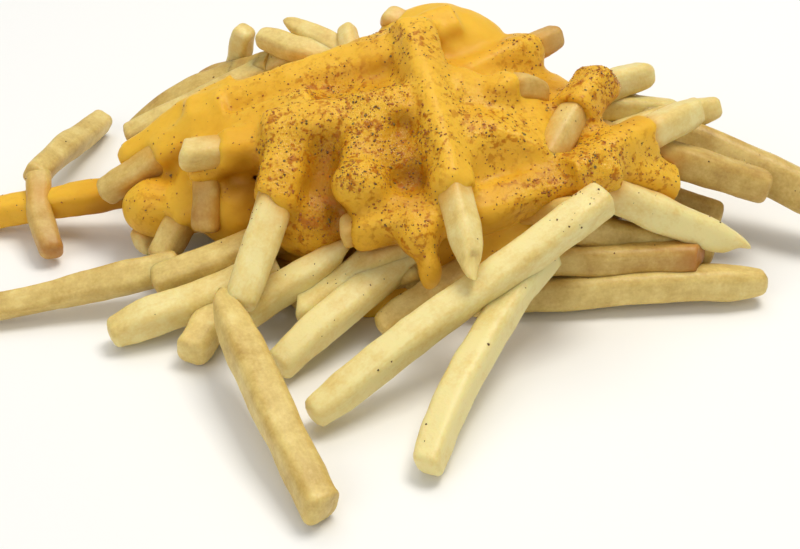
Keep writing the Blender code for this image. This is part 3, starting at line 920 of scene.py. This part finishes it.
@dataclass(frozen=True)
class Hollow:
    """A stretch where the blanket sinks between the fries."""

    start: tuple[float, float, float]
    stop: tuple[float, float, float]
    radius: float
    depth: float

    def sink(self, place: Vector) -> float:
        """How far the blanket sinks at a place."""
        start, way = Vector(self.start), Vector(self.stop) - Vector(self.start)
        share = max(0.0, min(1.0, (place - start).dot(way) / max(way.length_squared, 1e-9)))
        away = (place - start - way * share).length / self.radius
        return self.depth * math.exp(-away * away)


HOLLOWS = (
    Hollow((7, -2, 33), (3, 18, 43), 6.0, 3.5),
    Hollow((-23, -2, 30), (-19, 6, 38), 8.0, 5.0),
    Hollow((-54, 11, 24), (-50, 16, 30), 8.0, 4.0),
    Hollow((25, 12, 38), (27, 14, 40), 5.0, 2.5),
    Hollow((-48, 25, 36), (-16, 28, 46), 4.5, 3.5),
    Hollow((44, 26, 40), (36, 15, 34), 5.0, 5.0),
    Hollow((22, 34, 48), (34, 40, 46), 7.0, 3.5),
)


@dataclass(frozen=True)
class Patch:
    """A stretch of the sauce under seasoning."""

    middle: tuple[float, float, float]
    radius: float
    strength: float


SEASONED = (
    Patch((-17, 27, 47), 12, 0.7),
    Patch((-7, 17, 47), 13, 1.0),
    Patch((0, 5, 44), 12, 1.0),
    Patch((-13, 9, 42), 11, 0.8),
    Patch((-9, 0, 43), 8, 1.0),
    Patch((-23, -1, 30), 9, 0.5),
    Patch((2, -8, 32), 11, 0.5),
    Patch((4, 36, 56), 9, 0.5),
    Patch((10, 21, 46), 9, 0.45),
    Patch((16, 5, 36), 8, 0.3),
    Patch((22, 14, 47), 12, 0.5),
    Patch((30, -3, 42), 10, 0.6),
    Patch((46, 8, 38), 12, 0.8),
    Patch((38, -3, 34), 11, 0.8),
    Patch((49, 35, 49), 10, 0.95),
    Patch((44, 24, 43), 8, 0.6),
    Patch((60, 18, 32), 9, 0.6),
    Patch((-27, 13, 43), 9, 0.9),
    Patch((-31, 5, 36), 8, 0.9),
    Patch((-20, -2, 26), 11, 0.8),
    Patch((-33, 34, 46), 14, 0.18),
    Patch((-64, 22, 18), 9, 0.2),
    Patch((-49, 16, 30), 7, 0.35),
    Patch((-3, 47, 52), 10, 0.5),
    Patch((31, 47, 48), 10, 0.3),
)


@dataclass
class CheeseSauce:
    """The poured sauce: a blanket over the core, coats round fries, and lobes, run together."""

    core: HeapCore
    thickness: float = 4.0
    lip: float = 1.5  # how much deeper the blanket is where its hem has run thick
    dip: float = 3.0  # how far the hem dives into the core, below its edge
    edge: float = math.radians(31)  # mean angle above the floor at which the blanket ends
    heart: tuple[float, float, float] = (4.0, 35.0, 8.0)  # the point that the hollows sink towards
    coat: float = 1.3
    ragged: float = 3.2  # how far a coat's rim wanders
    coat_rough: float = 0.8  # how much of a fry's unevenness shows through its coat
    fill: float = 1.0  # radius that the sauce leaves in a crease
    coarse_voxel: float = 0.85
    fine_voxel: float = 0.68
    swells: tuple[tuple[float, float, int], ...] = ((0.45, 8.0, 3), (0.24, 3.4, 5))  # height, width, seed
    grains: tuple[float, float, int] = (0.16, 1.5, 7)  # the same for the lumps under the seasoning
    sight: float = 22.0  # how far off sauce still shades a hollow
    ways: int = 12  # directions in which a hollow is tried
    averaged: int = 30  # rounds that even out what they find

    def depth(self, azimuth: float, rise: float) -> float:
        """Depth of the blanket over the core: thick on top, then a hem in uneven tongues."""
        tongues = 0.16 * math.sin(4 * azimuth + 0.4) + 0.10 * math.sin(7 * azimuth + 1.9)
        edge = self.edge + tongues - 0.10 * math.sin(azimuth)
        run = min(max((rise - edge) / 0.4 + 0.5, 0.0), 1.0)
        lip = self.lip * math.exp(-(((rise - edge - 0.22) / 0.13) ** 2))
        return (self.thickness + self.dip) * run * run * (3 - 2 * run) - self.dip + lip

    def blanket(self) -> bpy.types.Object:
        """The poured sheet over the core, whose hem dives into it.

        Returns:
            The sheet, closed below.
        """
        obj = round_piece(128, 96)
        places = vertex_rows(obj.data, "co")
        for k, (x, y, z) in enumerate(places.tolist()):
            azimuth, rise = math.atan2(y, x), math.asin(max(-1.0, min(1.0, z)))
            depth = self.depth(azimuth, rise) if rise > 0 else -self.dip
            point = self.core.point(azimuth, max(rise, 0.0), depth + self.fill)
            sink = sum(hollow.sink(point) for hollow in HOLLOWS) if rise > 0 else 0.0
            point -= (point - Vector(self.heart)).normalized() * sink
            if rise <= 0:
                point.z = 8 * math.sin(rise) + 6
            places[k] = point
        put_places(obj.data, places)
        return obj

    def lobe(self, lobe: Lobe) -> bpy.types.Object:
        """A pool or drip, grown by the crease radius like the rest.

        Args:
            lobe: Where it lies and how wide it is.

        Returns:
            The pool or drip.
        """
        obj = round_piece(48, 32)
        radii = np.array(lobe.radii) + self.fill
        put_places(obj.data, vertex_rows(obj.data, "co") * radii + np.array(lobe.middle))
        return obj

    def coats(self, fries: Fries, shaper: FryShaper) -> list[bpy.types.Object]:
        """The sauce round each coated fry, with a ragged rim where the fry comes out bare.

        Args:
            fries: The fries, of which some are coated.
            shaper: Shapes the coats.

        Returns:
            One object a coat.
        """
        found = []
        grow = self.coat + self.fill
        for name, fry in fries.placed.items():
            if fry.coat:
                ragged = self.ragged if fry.coat[0] > 0 else 0.0
                seed = fries.seeds[name]
                found.append(shaper.shape(name + "_coat", fry, seed, fry.coat, grow, ragged, self.coat_rough))
        return found

    def run_together(self, parts: list[bpy.types.Object]) -> bpy.types.Object:
        """Joins the grown parts, and draws the skin in again so that every crease stays filled.

        Args:
            parts: The blanket, lobes and coats, which are used up.

        Returns:
            The sauce.
        """
        sauce = join_pieces("poured_sauce", parts)
        apply_modifier(sauce, "REMESH", mode="VOXEL", voxel_size=self.coarse_voxel)
        apply_modifier(sauce, "SMOOTH", factor=0.5, iterations=5)
        drawn_in = vertex_rows(sauce.data, "co") - self.fill * vertex_rows(sauce.data, "normal")
        put_places(sauce.data, drawn_in)
        apply_modifier(sauce, "REMESH", mode="VOXEL", voxel_size=self.fine_voxel)
        apply_modifier(sauce, "SMOOTH", factor=0.5, iterations=4)
        return sauce

    def roughen(self, sauce: bpy.types.Object) -> None:
        """Gives the skin the slow swells of thick sauce and the small lumps of what is under it."""
        places, normals = vertex_rows(sauce.data, "co"), vertex_rows(sauce.data, "normal")
        swell = sum(height * relief(places, width, seed) for height, width, seed in self.swells)
        height, width, seed = self.grains
        grain = height * self.seasoning(places) * relief(places, width, seed)
        put_places(sauce.data, places + (swell + grain)[:, None] * normals)

    @staticmethod
    def seasoning(places: np.ndarray) -> np.ndarray:
        """How thickly the seasoning lies.

        Args:
            places: Rows of three numbers.

        Returns:
            A number from 0 to about 1 for each place.
        """
        found = np.full(len(places), STRAY_SEASONING)
        for patch in SEASONED:
            away = np.linalg.norm(places - np.array(patch.middle), axis=1) / patch.radius
            found = np.maximum(found, patch.strength * np.clip(1.35 - away, 0, 1))
        # The dollop at the back has none.
        dollop = SAUCE_LOBES["dollop"]
        inside = np.linalg.norm((places - np.array(dollop.middle)) / (np.array(dollop.radii) + 2.5), axis=1)
        return np.where((inside < 1.0) & (places[:, 1] > 44), 0.0, found)

    def painted_hollow_shade(self, sauce: bpy.types.Object, places: np.ndarray, normals: np.ndarray) -> np.ndarray:
        """How hemmed in by sauce each vertex of the sauce lies, which the finish lays on as painted shade.

        Args:
            sauce: The sauce.
            places: Its vertices.
            normals: Their normals.

        Returns:
            A number from 0, in the open, to 1 for each vertex.
        """
        tree = skin_tree(sauce)
        draw = random.Random(4)
        ways = []
        while len(ways) < self.ways:
            way = Vector((draw.uniform(-1, 1), draw.uniform(-1, 1), draw.uniform(-0.1, 1)))
            if 0.2 < way.length < 1:
                ways.append(way.normalized())
        found = np.zeros(len(places))
        for k, (place, normal) in enumerate(zip(places.tolist(), normals.tolist())):
            out = Vector(normal)
            origin = Vector(place) + out * 0.25
            open_ways = [way for way in ways if way.dot(out) > 0.05]
            hits = sum(tree.ray_cast(origin, way, self.sight)[0] is not None for way in open_ways)
            found[k] = hits / len(open_ways) if open_ways else 1.0
        # Undersides count as more hemmed in, so that they get painted shade too.
        found = np.clip(found + 0.25 * np.clip(-normals[:, 2], 0, 1), 0, 1)
        return evened(sauce.data, found, self.averaged)

    def mark(self, sauce: bpy.types.Object) -> None:
        """Writes to the skin where seasoning lies, and how deep in a hollow each point is for the painted
        shade.
        """
        places, normals = vertex_rows(sauce.data, "co"), vertex_rows(sauce.data, "normal")
        hollow = self.painted_hollow_shade(sauce, places, normals)
        put_vectors(sauce.data, "flow", np.stack([self.seasoning(places), hollow, normals[:, 2]], 1))


# Seasoning


class Grain(Enum):
    """The kinds of grain in the seasoning."""

    CHILLI = "chilli_grains"
    PEPPER = "pepper_grains"
    HERB = "herb_flecks"


@dataclass(frozen=True)
class GrainSize:
    """How many grains of a kind there are, and their sizes."""

    count: int
    least: float
    most: float
    flatness: float
    hex_code: str


GRAIN_SIZES = {
    Grain.CHILLI: GrainSize(3200, 0.08, 0.28, 0.6, "#9a5814"),
    Grain.PEPPER: GrainSize(900, 0.09, 0.27, 0.7, "#5e3f16"),
    Grain.HERB: GrainSize(220, 0.14, 0.38, 0.3, "#6b5824"),
}
SPECKS_ON_FRIES = 260


@dataclass
class Seasoning:
    """Grains lying on the sauce, thick where it was sprinkled."""

    seed: int = 21
    clump: float = 3.3  # width of the clumps that grains fall in
    above: float = 0.02  # how far above the skin a grain's middle lies

    @staticmethod
    def unit_grain(kind: Grain) -> tuple[np.ndarray, np.ndarray]:
        """The shape that the grains of a kind are made from.

        Args:
            kind: The kind of grain.

        Returns:
            Its vertices and its triangles.
        """
        deselect_all()
        bpy.ops.mesh.primitive_ico_sphere_add(subdivisions=1, radius=1.0, calc_uvs=False)
        grain = bpy.context.view_layer.objects.active
        if kind is Grain.HERB:
            apply_modifier(grain, "BEVEL", width=0.16, segments=1)
        unit = vertex_rows(grain.data, "co")
        grain.data.calc_loop_triangles()
        faces = np.array([tuple(t.vertices) for t in grain.data.loop_triangles])
        bpy.data.objects.remove(grain, do_unlink=True)
        return unit, faces

    def strew(
        self, name: str, kind: Grain, count: int, host: bpy.types.Object, open_to: np.ndarray
    ) -> bpy.types.Object:
        """Lays grains of one kind by a seeded draw.

        Args:
            name: Name of the new object.
            kind: The kind of grain.
            count: How many grains.
            host: What they lie on, still in millimetres.
            open_to: For each of its vertices, how readily grains lie there, from 0 to 1.

        Returns:
            One mesh that holds every grain.
        """
        size, order = GRAIN_SIZES[kind], list(Grain).index(kind)
        draw = np.random.default_rng(self.seed + order)
        unit, faces = self.unit_grain(kind)

        # Each grain falls on a triangle of the host, by its area, its slope and the seasoning there.
        mesh = host.data
        mesh.calc_loop_triangles()
        corners = np.array([tuple(t.vertices) for t in mesh.loop_triangles])
        places, normals = vertex_rows(mesh, "co"), vertex_rows(mesh, "normal")
        a, b, c = (places[corners[:, i]] for i in range(3))
        area = 0.5 * np.linalg.norm(np.cross(b - a, c - a), axis=1)
        middle, facing = (a + b + c) / 3, normals[corners].mean(1)
        clump = 0.55 + 0.9 * np.clip(relief(middle, self.clump, 40 + order), -0.5, 1)
        lying = np.clip((facing[:, 2] + 0.05) / 0.4, 0, 1)
        weight = area * CheeseSauce.seasoning(middle) * clump * lying * open_to[corners].mean(1)
        picked = draw.choice(len(weight), count, p=weight / weight.sum())
        share = draw.random((count, 2))
        flip = share.sum(1) > 1
        share[flip] = 1 - share[flip]
        at = a[picked] + share[:, :1] * (b - a)[picked] + share[:, 1:] * (c - a)[picked]

        # It lies flat on the skin, turned, stretched and knocked out of shape by the draw.
        up = facing[picked] / np.linalg.norm(facing[picked], axis=1, keepdims=True)
        side = np.cross(up, draw.normal(size=(count, 3)))
        side /= np.linalg.norm(side, axis=1, keepdims=True)
        over = np.cross(up, side)
        radius = size.least + (size.most - size.least) * draw.random(count) ** 1.8
        lengths = radius[:, None] * draw.uniform(0.7, 1.5, (count, 2))
        shape = unit[None] * (1 + 0.25 * draw.normal(size=(count, len(unit), 1)))
        rows = shape[:, :, 0:1] * (side * lengths[:, :1])[:, None]
        rows += shape[:, :, 1:2] * (over * lengths[:, 1:])[:, None]
        thick = (up * radius[:, None] * size.flatness)[:, None]
        rows += shape[:, :, 2:3] * thick + (at + up * self.above)[:, None]
        turned = faces[None] + (np.arange(count) * len(unit))[:, None, None]
        result = bpy.data.meshes.new(name)
        result.from_pydata(rows.reshape(-1, 3).tolist(), [], turned.reshape(-1, 3).tolist())
        return new_piece(name, result)


# Finishes


def blank_material(name: str) -> tuple[bpy.types.Material, bpy.types.NodeTree, bpy.types.Node]:
    """Starts a material.

    Args:
        name: Its name.

    Returns:
        The material, its node tree and its shader.
    """
    made = bpy.data.materials.new(name)
    made.use_nodes = True
    return made, made.node_tree, made.node_tree.nodes["Principled BSDF"]


@dataclass(frozen=True)
class FriedPotato:
    """Fried potato: a thin crisp skin, pale and slightly clear, with browner edges and ends.

    Widths are in millimetres, as the fries carry their own millimetre coordinates.
    """

    pale: str = "#ebdc98"
    cream: str = "#e2c97c"
    gold: str = "#c9a95b"
    deep: str = "#a9803a"
    burnt: str = "#b1752b"
    # A thin film of sauce, and painted orange light bounced off the sauce, close to it.
    sauce_film_and_bounce: str = "#d99a2b"
    blotch: float = 7.7  # width of the patches where the fat was hotter or the flesh drier
    blotch_tone: float = 1.3  # how much of the tone they change
    streak: float = 0.9  # width of the lengthwise streaks that the cut leaves
    streak_tone: float = 0.22
    pit: float = 0.7  # width of the pits of the fried skin, drawn coarser than real to show
    pit_tone: float = 0.30
    edge_tone: float = 0.10  # how much browner the long edges are
    pit_depth: float = 0.0004  # in metres
    roughness: float = 0.46
    inside: float = 0.35  # share of light that goes into the flesh

    def material(self) -> bpy.types.Material:
        """Builds the material."""
        made, tree, shader = blank_material("fried_potato")
        grain = add_node(tree, ATTRIBUTE, attribute_name="grain").outputs["Vector"]
        tone = add_node(tree, ATTRIBUTE, attribute_name="tone").outputs["Vector"]
        gold, brown, corner = add_node(tree, SPLIT, {0: tone}).outputs
        film_and_bounce = add_node(tree, ATTRIBUTE, attribute_name="sauce_film_and_bounce").outputs["Vector"]
        near = add_node(tree, SPLIT, {0: film_and_bounce})

        broad = {"Vector": grain, "Scale": 1 / self.blotch, "Detail": 5.0, "Roughness": 0.68}
        blotch = add_node(tree, NOISE, broad)
        along = add_node(tree, "ShaderNodeVectorMath", {0: grain, 1: (0.12, 1.0, 1.0)}, operation="MULTIPLY")
        streak = add_node(tree, NOISE, {"Vector": along, "Scale": 1 / self.streak, "Detail": 2.0})
        pits = add_node(tree, NOISE, {"Vector": grain, "Scale": 1 / self.pit, "Detail": 2.0})

        # The tone, from the palest cream at 0 to a deep gold at 1. Noise is 0.5 on the whole.
        level = -0.5 * (self.blotch_tone + self.streak_tone + self.pit_tone)
        tones = (
            (blotch, self.blotch_tone),
            (streak, self.streak_tone),
            (pits, self.pit_tone),
            (corner, self.edge_tone),
            (gold, 1.0),
        )
        for source, share in tones:
            level = add_node(tree, MATH, {0: source, 1: share, 2: level}, operation="MULTIPLY_ADD")
        stops = ((0.0, self.pale), (0.3, self.cream), (0.65, self.gold), (1.0, self.deep))
        colour = add_node(tree, RAMP, {"Fac": level}, stops)

        # Browned ends, then a thin orange film close to the sauce along with painted orange light bounced off
        # it, both as uneven as the blotches.
        layers = ((brown, 1.6, 0.2, self.burnt), (near, 1.2, 0.1, self.sauce_film_and_bounce))
        for amount, contrast, least, hex_code in layers:
            patchy = add_node(tree, MATH, {0: blotch, 1: contrast, 2: least}, operation="MULTIPLY_ADD")
            cover = add_node(tree, MATH, {0: amount, 1: patchy}, operation="MULTIPLY")
            cover = add_node(tree, "ShaderNodeClamp", {0: cover})
            mixed = {"Factor": cover, 6: colour, 7: linear(hex_code)}
            colour = add_node(tree, MIX, mixed, data_type="RGBA").outputs[MIXED]
        tree.links.new(colour, shader.inputs["Base Color"])

        ripple = add_node(tree, MATH, {0: streak, 1: 0.2}, operation="MULTIPLY")
        height = add_node(tree, MATH, {0: pits, 1: 0.6, 2: ripple}, operation="MULTIPLY_ADD")
        bump = add_node(tree, BUMP, {"Strength": 0.35, "Distance": self.pit_depth, "Height": height})
        tree.links.new(bump.outputs["Normal"], shader.inputs["Normal"])
        shader.inputs["Roughness"].default_value = self.roughness
        shader.inputs["IOR"].default_value = 1.44
        shader.inputs["Subsurface Weight"].default_value = self.inside
        shader.inputs["Subsurface Radius"].default_value = (1.0, 0.62, 0.22)
        shader.inputs["Subsurface Scale"].default_value = 0.003
        return made


@dataclass(frozen=True)
class CheeseFinish:
    """Processed cheese sauce, poured warm: smooth, opaque a few millimetres down, and wet.

    Widths are in millimetres.
    """

    bright: str = "#ecba3c"
    body: str = "#dca428"
    # deep serves both the thicker streaks of sauce and the painted shade in hollows.
    deep: str = "#a4690a"
    stain: str = "#b46a08"
    swirl: float = 12.5  # width of the slow streaks of thicker and thinner sauce
    painted_shade_in_hollows: float = 0.8  # how much deeper the colour is painted in a hollow, as painted shade
    under_spice: float = 0.14  # how much deeper it is under the seasoning
    spot: float = 1.8  # width of the spots of paprika that has bled into the sauce
    cloud: float = 8.0  # width of the patches where such spots stand closer
    wrinkle: float = 0.9  # width of the wet wrinkles round the grains
    wrinkle_depth: float = 0.0009  # in metres
    roughness: float = 0.42
    wetter: float = 0.25  # how much smoother the oily skin under the seasoning is
    shine: float = 0.2  # strength of the reflection
    oily: float = 0.05  # how much stronger it is under the seasoning
    inside: float = 0.45  # share of light that goes into the sauce

    def material(self) -> bpy.types.Material:
        """Builds the material."""
        made, tree, shader = blank_material("cheese_sauce_finish")
        place = add_node(tree, "ShaderNodeTexCoord").outputs["Object"]
        flow = add_node(tree, ATTRIBUTE, attribute_name="flow").outputs["Vector"]
        season, hollow, _ = add_node(tree, SPLIT, {0: flow}).outputs
        slow = {"Vector": place, "Scale": 1000 / self.swirl, "Detail": 3.0, "Distortion": 0.8}
        fine = {"Vector": place, "Scale": 1000 / self.spot, "Detail": 2.0, "Roughness": 0.6}
        loose = {"Vector": place, "Scale": 1000 / self.cloud, "Detail": 2.0}
        tiny = {"Vector": place, "Scale": 1000 / self.wrinkle, "Detail": 3.0, "Roughness": 0.6}
        swirl, spots, clouds, wrinkles = (add_node(tree, NOISE, s) for s in (slow, fine, loose, tiny))

        # The body of the sauce, with painted shade deepening it where it lies in a hollow, and deeper under
        # the seasoning.
        level = -0.25
        for source, share in ((swirl, 0.5), (hollow, self.painted_shade_in_hollows), (season, self.under_spice)):
            level = add_node(tree, MATH, {0: source, 1: share, 2: level}, operation="MULTIPLY_ADD")
        stops = ((0.0, self.bright), (0.35, self.body), (0.9, self.deep))
        colour = add_node(tree, RAMP, {"Fac": level}, stops)

        # Paprika that has bled, only where the seasoning lies.
        bled = -4.65
        for source, share in ((spots, 7.5), (clouds, 1.6)):
            bled = add_node(tree, MATH, {0: source, 1: share, 2: bled}, operation="MULTIPLY_ADD")
        bled = add_node(tree, "ShaderNodeClamp", {0: bled})
        thick = add_node(tree, MATH, {0: season, 1: 1.9}, operation="MULTIPLY")
        thick = add_node(tree, MATH, {0: thick, 1: 0.9}, operation="MINIMUM")
        bled = add_node(tree, MATH, {0: bled, 1: thick}, operation="MULTIPLY")
        mixed = {"Factor": bled, 6: colour, 7: linear(self.stain)}
        stained = add_node(tree, MIX, mixed, data_type="RGBA").outputs[MIXED]
        tree.links.new(stained, shader.inputs["Base Color"])

        strength = add_node(tree, MATH, {0: season, 1: 0.5, 2: 0.05}, operation="MULTIPLY_ADD")
        height = add_node(tree, MATH, {0: wrinkles, 1: strength}, operation="MULTIPLY")
        bump = add_node(tree, BUMP, {"Strength": 1.0, "Distance": self.wrinkle_depth, "Height": height})
        tree.links.new(bump.outputs["Normal"], shader.inputs["Normal"])
        graded = (("Roughness", -self.wetter, self.roughness), ("Specular IOR Level", self.oily, self.shine))
        for name, share, least in graded:
            value = add_node(tree, MATH, {0: season, 1: share, 2: least}, operation="MULTIPLY_ADD")
            tree.links.new(value.outputs[0], shader.inputs[name])
        shader.inputs["IOR"].default_value = 1.42
        shader.inputs["Subsurface Weight"].default_value = self.inside
        shader.inputs["Subsurface Radius"].default_value = (0.8, 0.5, 0.12)
        shader.inputs["Subsurface Scale"].default_value = 0.0035
        return made


@dataclass(frozen=True)
class GrainFinish:
    """Ground spice, dark and matt, dampened by the sauce it lies in."""

    kind: Grain
    mottle: float = 1.4  # width of the change of tone in millimetres, so that each grain differs
    darkest: float = 0.7
    lightest: float = 1.5
    roughness: float = 0.45

    def material(self) -> bpy.types.Material:
        """Builds the material."""
        made, tree, shader = blank_material(self.kind.value + "_finish")
        place = add_node(tree, "ShaderNodeTexCoord").outputs["Object"]
        mottle = add_node(tree, NOISE, {"Vector": place, "Scale": 1000 / self.mottle, "Detail": 1.0})
        base = np.array(linear(GRAIN_SIZES[self.kind].hex_code)[:3])
        dark, light = ((*np.minimum(base * share, 1.0), 1.0) for share in (self.darkest, self.lightest))
        toned = add_node(tree, MIX, {"Factor": mottle, 6: dark, 7: light}, data_type="RGBA")
        tree.links.new(toned.outputs[MIXED], shader.inputs["Base Color"])
        shader.inputs["Roughness"].default_value = self.roughness
        return made


# Studio

LIT_POINT = (0.0, 0.0, 0.02)  # in metres


@dataclass(frozen=True)
class Softbox:
    """A square softbox that faces the heap, in metres and watts."""

    name: str
    place: tuple[float, float, float]
    side: float
    power: float
    hex_code: str = "#ffffff"

    def hang(self) -> None:
        """Hangs the softbox."""
        data = bpy.data.lights.new(self.name, "AREA")
        data.shape = "SQUARE"
        data.size = self.side
        data.energy = self.power
        data.color = linear(self.hex_code)[:3]
        lamp = bpy.data.objects.new(self.name, data)
        lamp.location = self.place
        toward = Vector(LIT_POINT) - Vector(self.place)
        lamp.rotation_euler = toward.to_track_quat("-Z", "Y").to_euler()
        bpy.context.scene.collection.objects.link(lamp)


SOFTBOXES = (
    Softbox("key", (0.30, 0.10, 1.0), 0.42, 6.0, "#fffaf0"),
    Softbox("fill", (-0.6, -0.9, 0.8), 0.9, 4.2),
    Softbox("top", (-0.1, 0.4, 1.1), 0.9, 3.6),
)


@dataclass(frozen=True)
class Studio:
    """A pale floor, soft lights and the camera at the photograph's angle."""

    elevation: float = math.radians(35)
    distance: float = 380.0
    target: tuple[float, float, float] = (1.5, -27.6, 20.0)
    lens: float = 72.0
    floor_side: float = 6.0  # in metres
    floor_tint: str = "#f4f4f2"
    sky_tint: str = "#f3f5f8"
    sky: float = 0.36

    def camera(self) -> None:
        """Sets up the camera."""
        data = bpy.data.cameras.new("view")
        data.lens = self.lens
        data.sensor_width = 36.0
        data.clip_start = 0.01
        camera = bpy.data.objects.new("view", data)
        back = Vector((0.0, -math.cos(self.elevation), math.sin(self.elevation)))
        camera.location = (Vector(self.target) + back * self.distance) * MM
        camera.rotation_euler = (math.pi / 2 - self.elevation, 0.0, 0.0)
        bpy.context.scene.collection.objects.link(camera)
        bpy.context.scene.camera = camera

    def floor(self) -> None:
        """Lays a plain pale floor."""
        deselect_all()
        bpy.ops.mesh.primitive_plane_add(size=self.floor_side)
        floor = bpy.context.view_layer.objects.active
        floor.name = "floor"
        made, _, shader = blank_material("pale_floor")
        shader.inputs["Base Color"].default_value = linear(self.floor_tint)
        shader.inputs["Roughness"].default_value = 0.9
        floor.data.materials.append(made)

    def build(self) -> None:
        """Builds the whole studio."""
        self.camera()
        self.floor()
        for softbox in SOFTBOXES:
            softbox.hang()
        world = bpy.data.worlds.new("studio")
        world.use_nodes = True
        world.node_tree.nodes["Background"].inputs["Color"].default_value = linear(self.sky_tint)
        world.node_tree.nodes["Background"].inputs["Strength"].default_value = self.sky
        bpy.context.scene.world = world
        bpy.context.scene.view_settings.view_transform = "Standard"


# The whole heap


def mark_film_and_bounce(fries: bpy.types.Object, sauce: bpy.types.Object) -> np.ndarray:
    """Writes to the fries how near the sauce is, where a thin orange film has run on them and orange light
    bounced off the sauce is painted.

    Args:
        fries: The fries, in millimetres.
        sauce: The sauce, in millimetres.

    Returns:
        The nearness of each vertex, 1 at the sauce and less further off.
    """
    tree = skin_tree(sauce)
    places = vertex_rows(fries.data, "co")
    near = np.zeros(len(places))
    for k, place in enumerate(places.tolist()):
        found = tree.find_nearest(Vector(place), FILM_AND_BOUNCE_END)
        if found[0] is not None:
            near[k] = math.exp(-found[3] / FILM_AND_BOUNCE_LENGTH)
    put_vectors(fries.data, "sauce_film_and_bounce", np.stack([near, near, near], 1))
    return near


def main() -> None:
    """Builds the heap in order and reports each piece."""
    logging.basicConfig(level=logging.INFO, format="%(message)s")
    Studio().build()
    core = HeapCore()
    fries = Fries(core)
    fine_bar = PotatoCutter().bar("fine_bar")
    coarse_bar = PotatoCutter(corner_steps=3, stations=34).bar("coarse_bar")
    plain_bar = PotatoCutter(corner_steps=2, stations=14).bar("plain_bar")
    fine, coarse, plain = FryShaper(fine_bar), FryShaper(coarse_bar), FryShaper(plain_bar)

    cheese = CheeseSauce(core)
    lobes = [cheese.lobe(lobe) for lobe in SAUCE_LOBES.values()]
    sauce = cheese.run_together([cheese.blanket()] + lobes + cheese.coats(fries, fine))
    cheese.roughen(sauce)
    cheese.mark(sauce)
    log.info("sauce run together")

    bars = join_pieces("potato_sticks", fries.bars(fine, coarse))
    buried = join_pieces("buried_sticks", fries.buried_bars(plain))
    near = mark_film_and_bounce(bars, sauce)
    mark_film_and_bounce(buried, sauce)

    seasoning = Seasoning()
    everywhere = np.ones(len(sauce.data.vertices))
    strewn = {}
    for kind, size in GRAIN_SIZES.items():
        strewn[kind] = seasoning.strew(kind.value, kind, size.count, sauce, everywhere)
    clear = near < CLEAR_OF_SAUCE
    specks = seasoning.strew("pepper_specks", Grain.PEPPER, SPECKS_ON_FRIES, bars, clear)

    potato = FriedPotato().material()
    set_down(bars, "fries", potato)
    set_down(buried, "fries", potato)
    set_down(sauce, "cheese_sauce", CheeseFinish().material())
    ground = {kind: GrainFinish(kind).material() for kind in Grain}
    for kind, grain in strewn.items():
        set_down(grain, "cheese_sauce", ground[kind])
    set_down(specks, "fries", ground[Grain.PEPPER])
    for spare in (fine_bar, coarse_bar, plain_bar):
        bpy.data.objects.remove(spare, do_unlink=True)


if __name__ == "__main__":
    main()
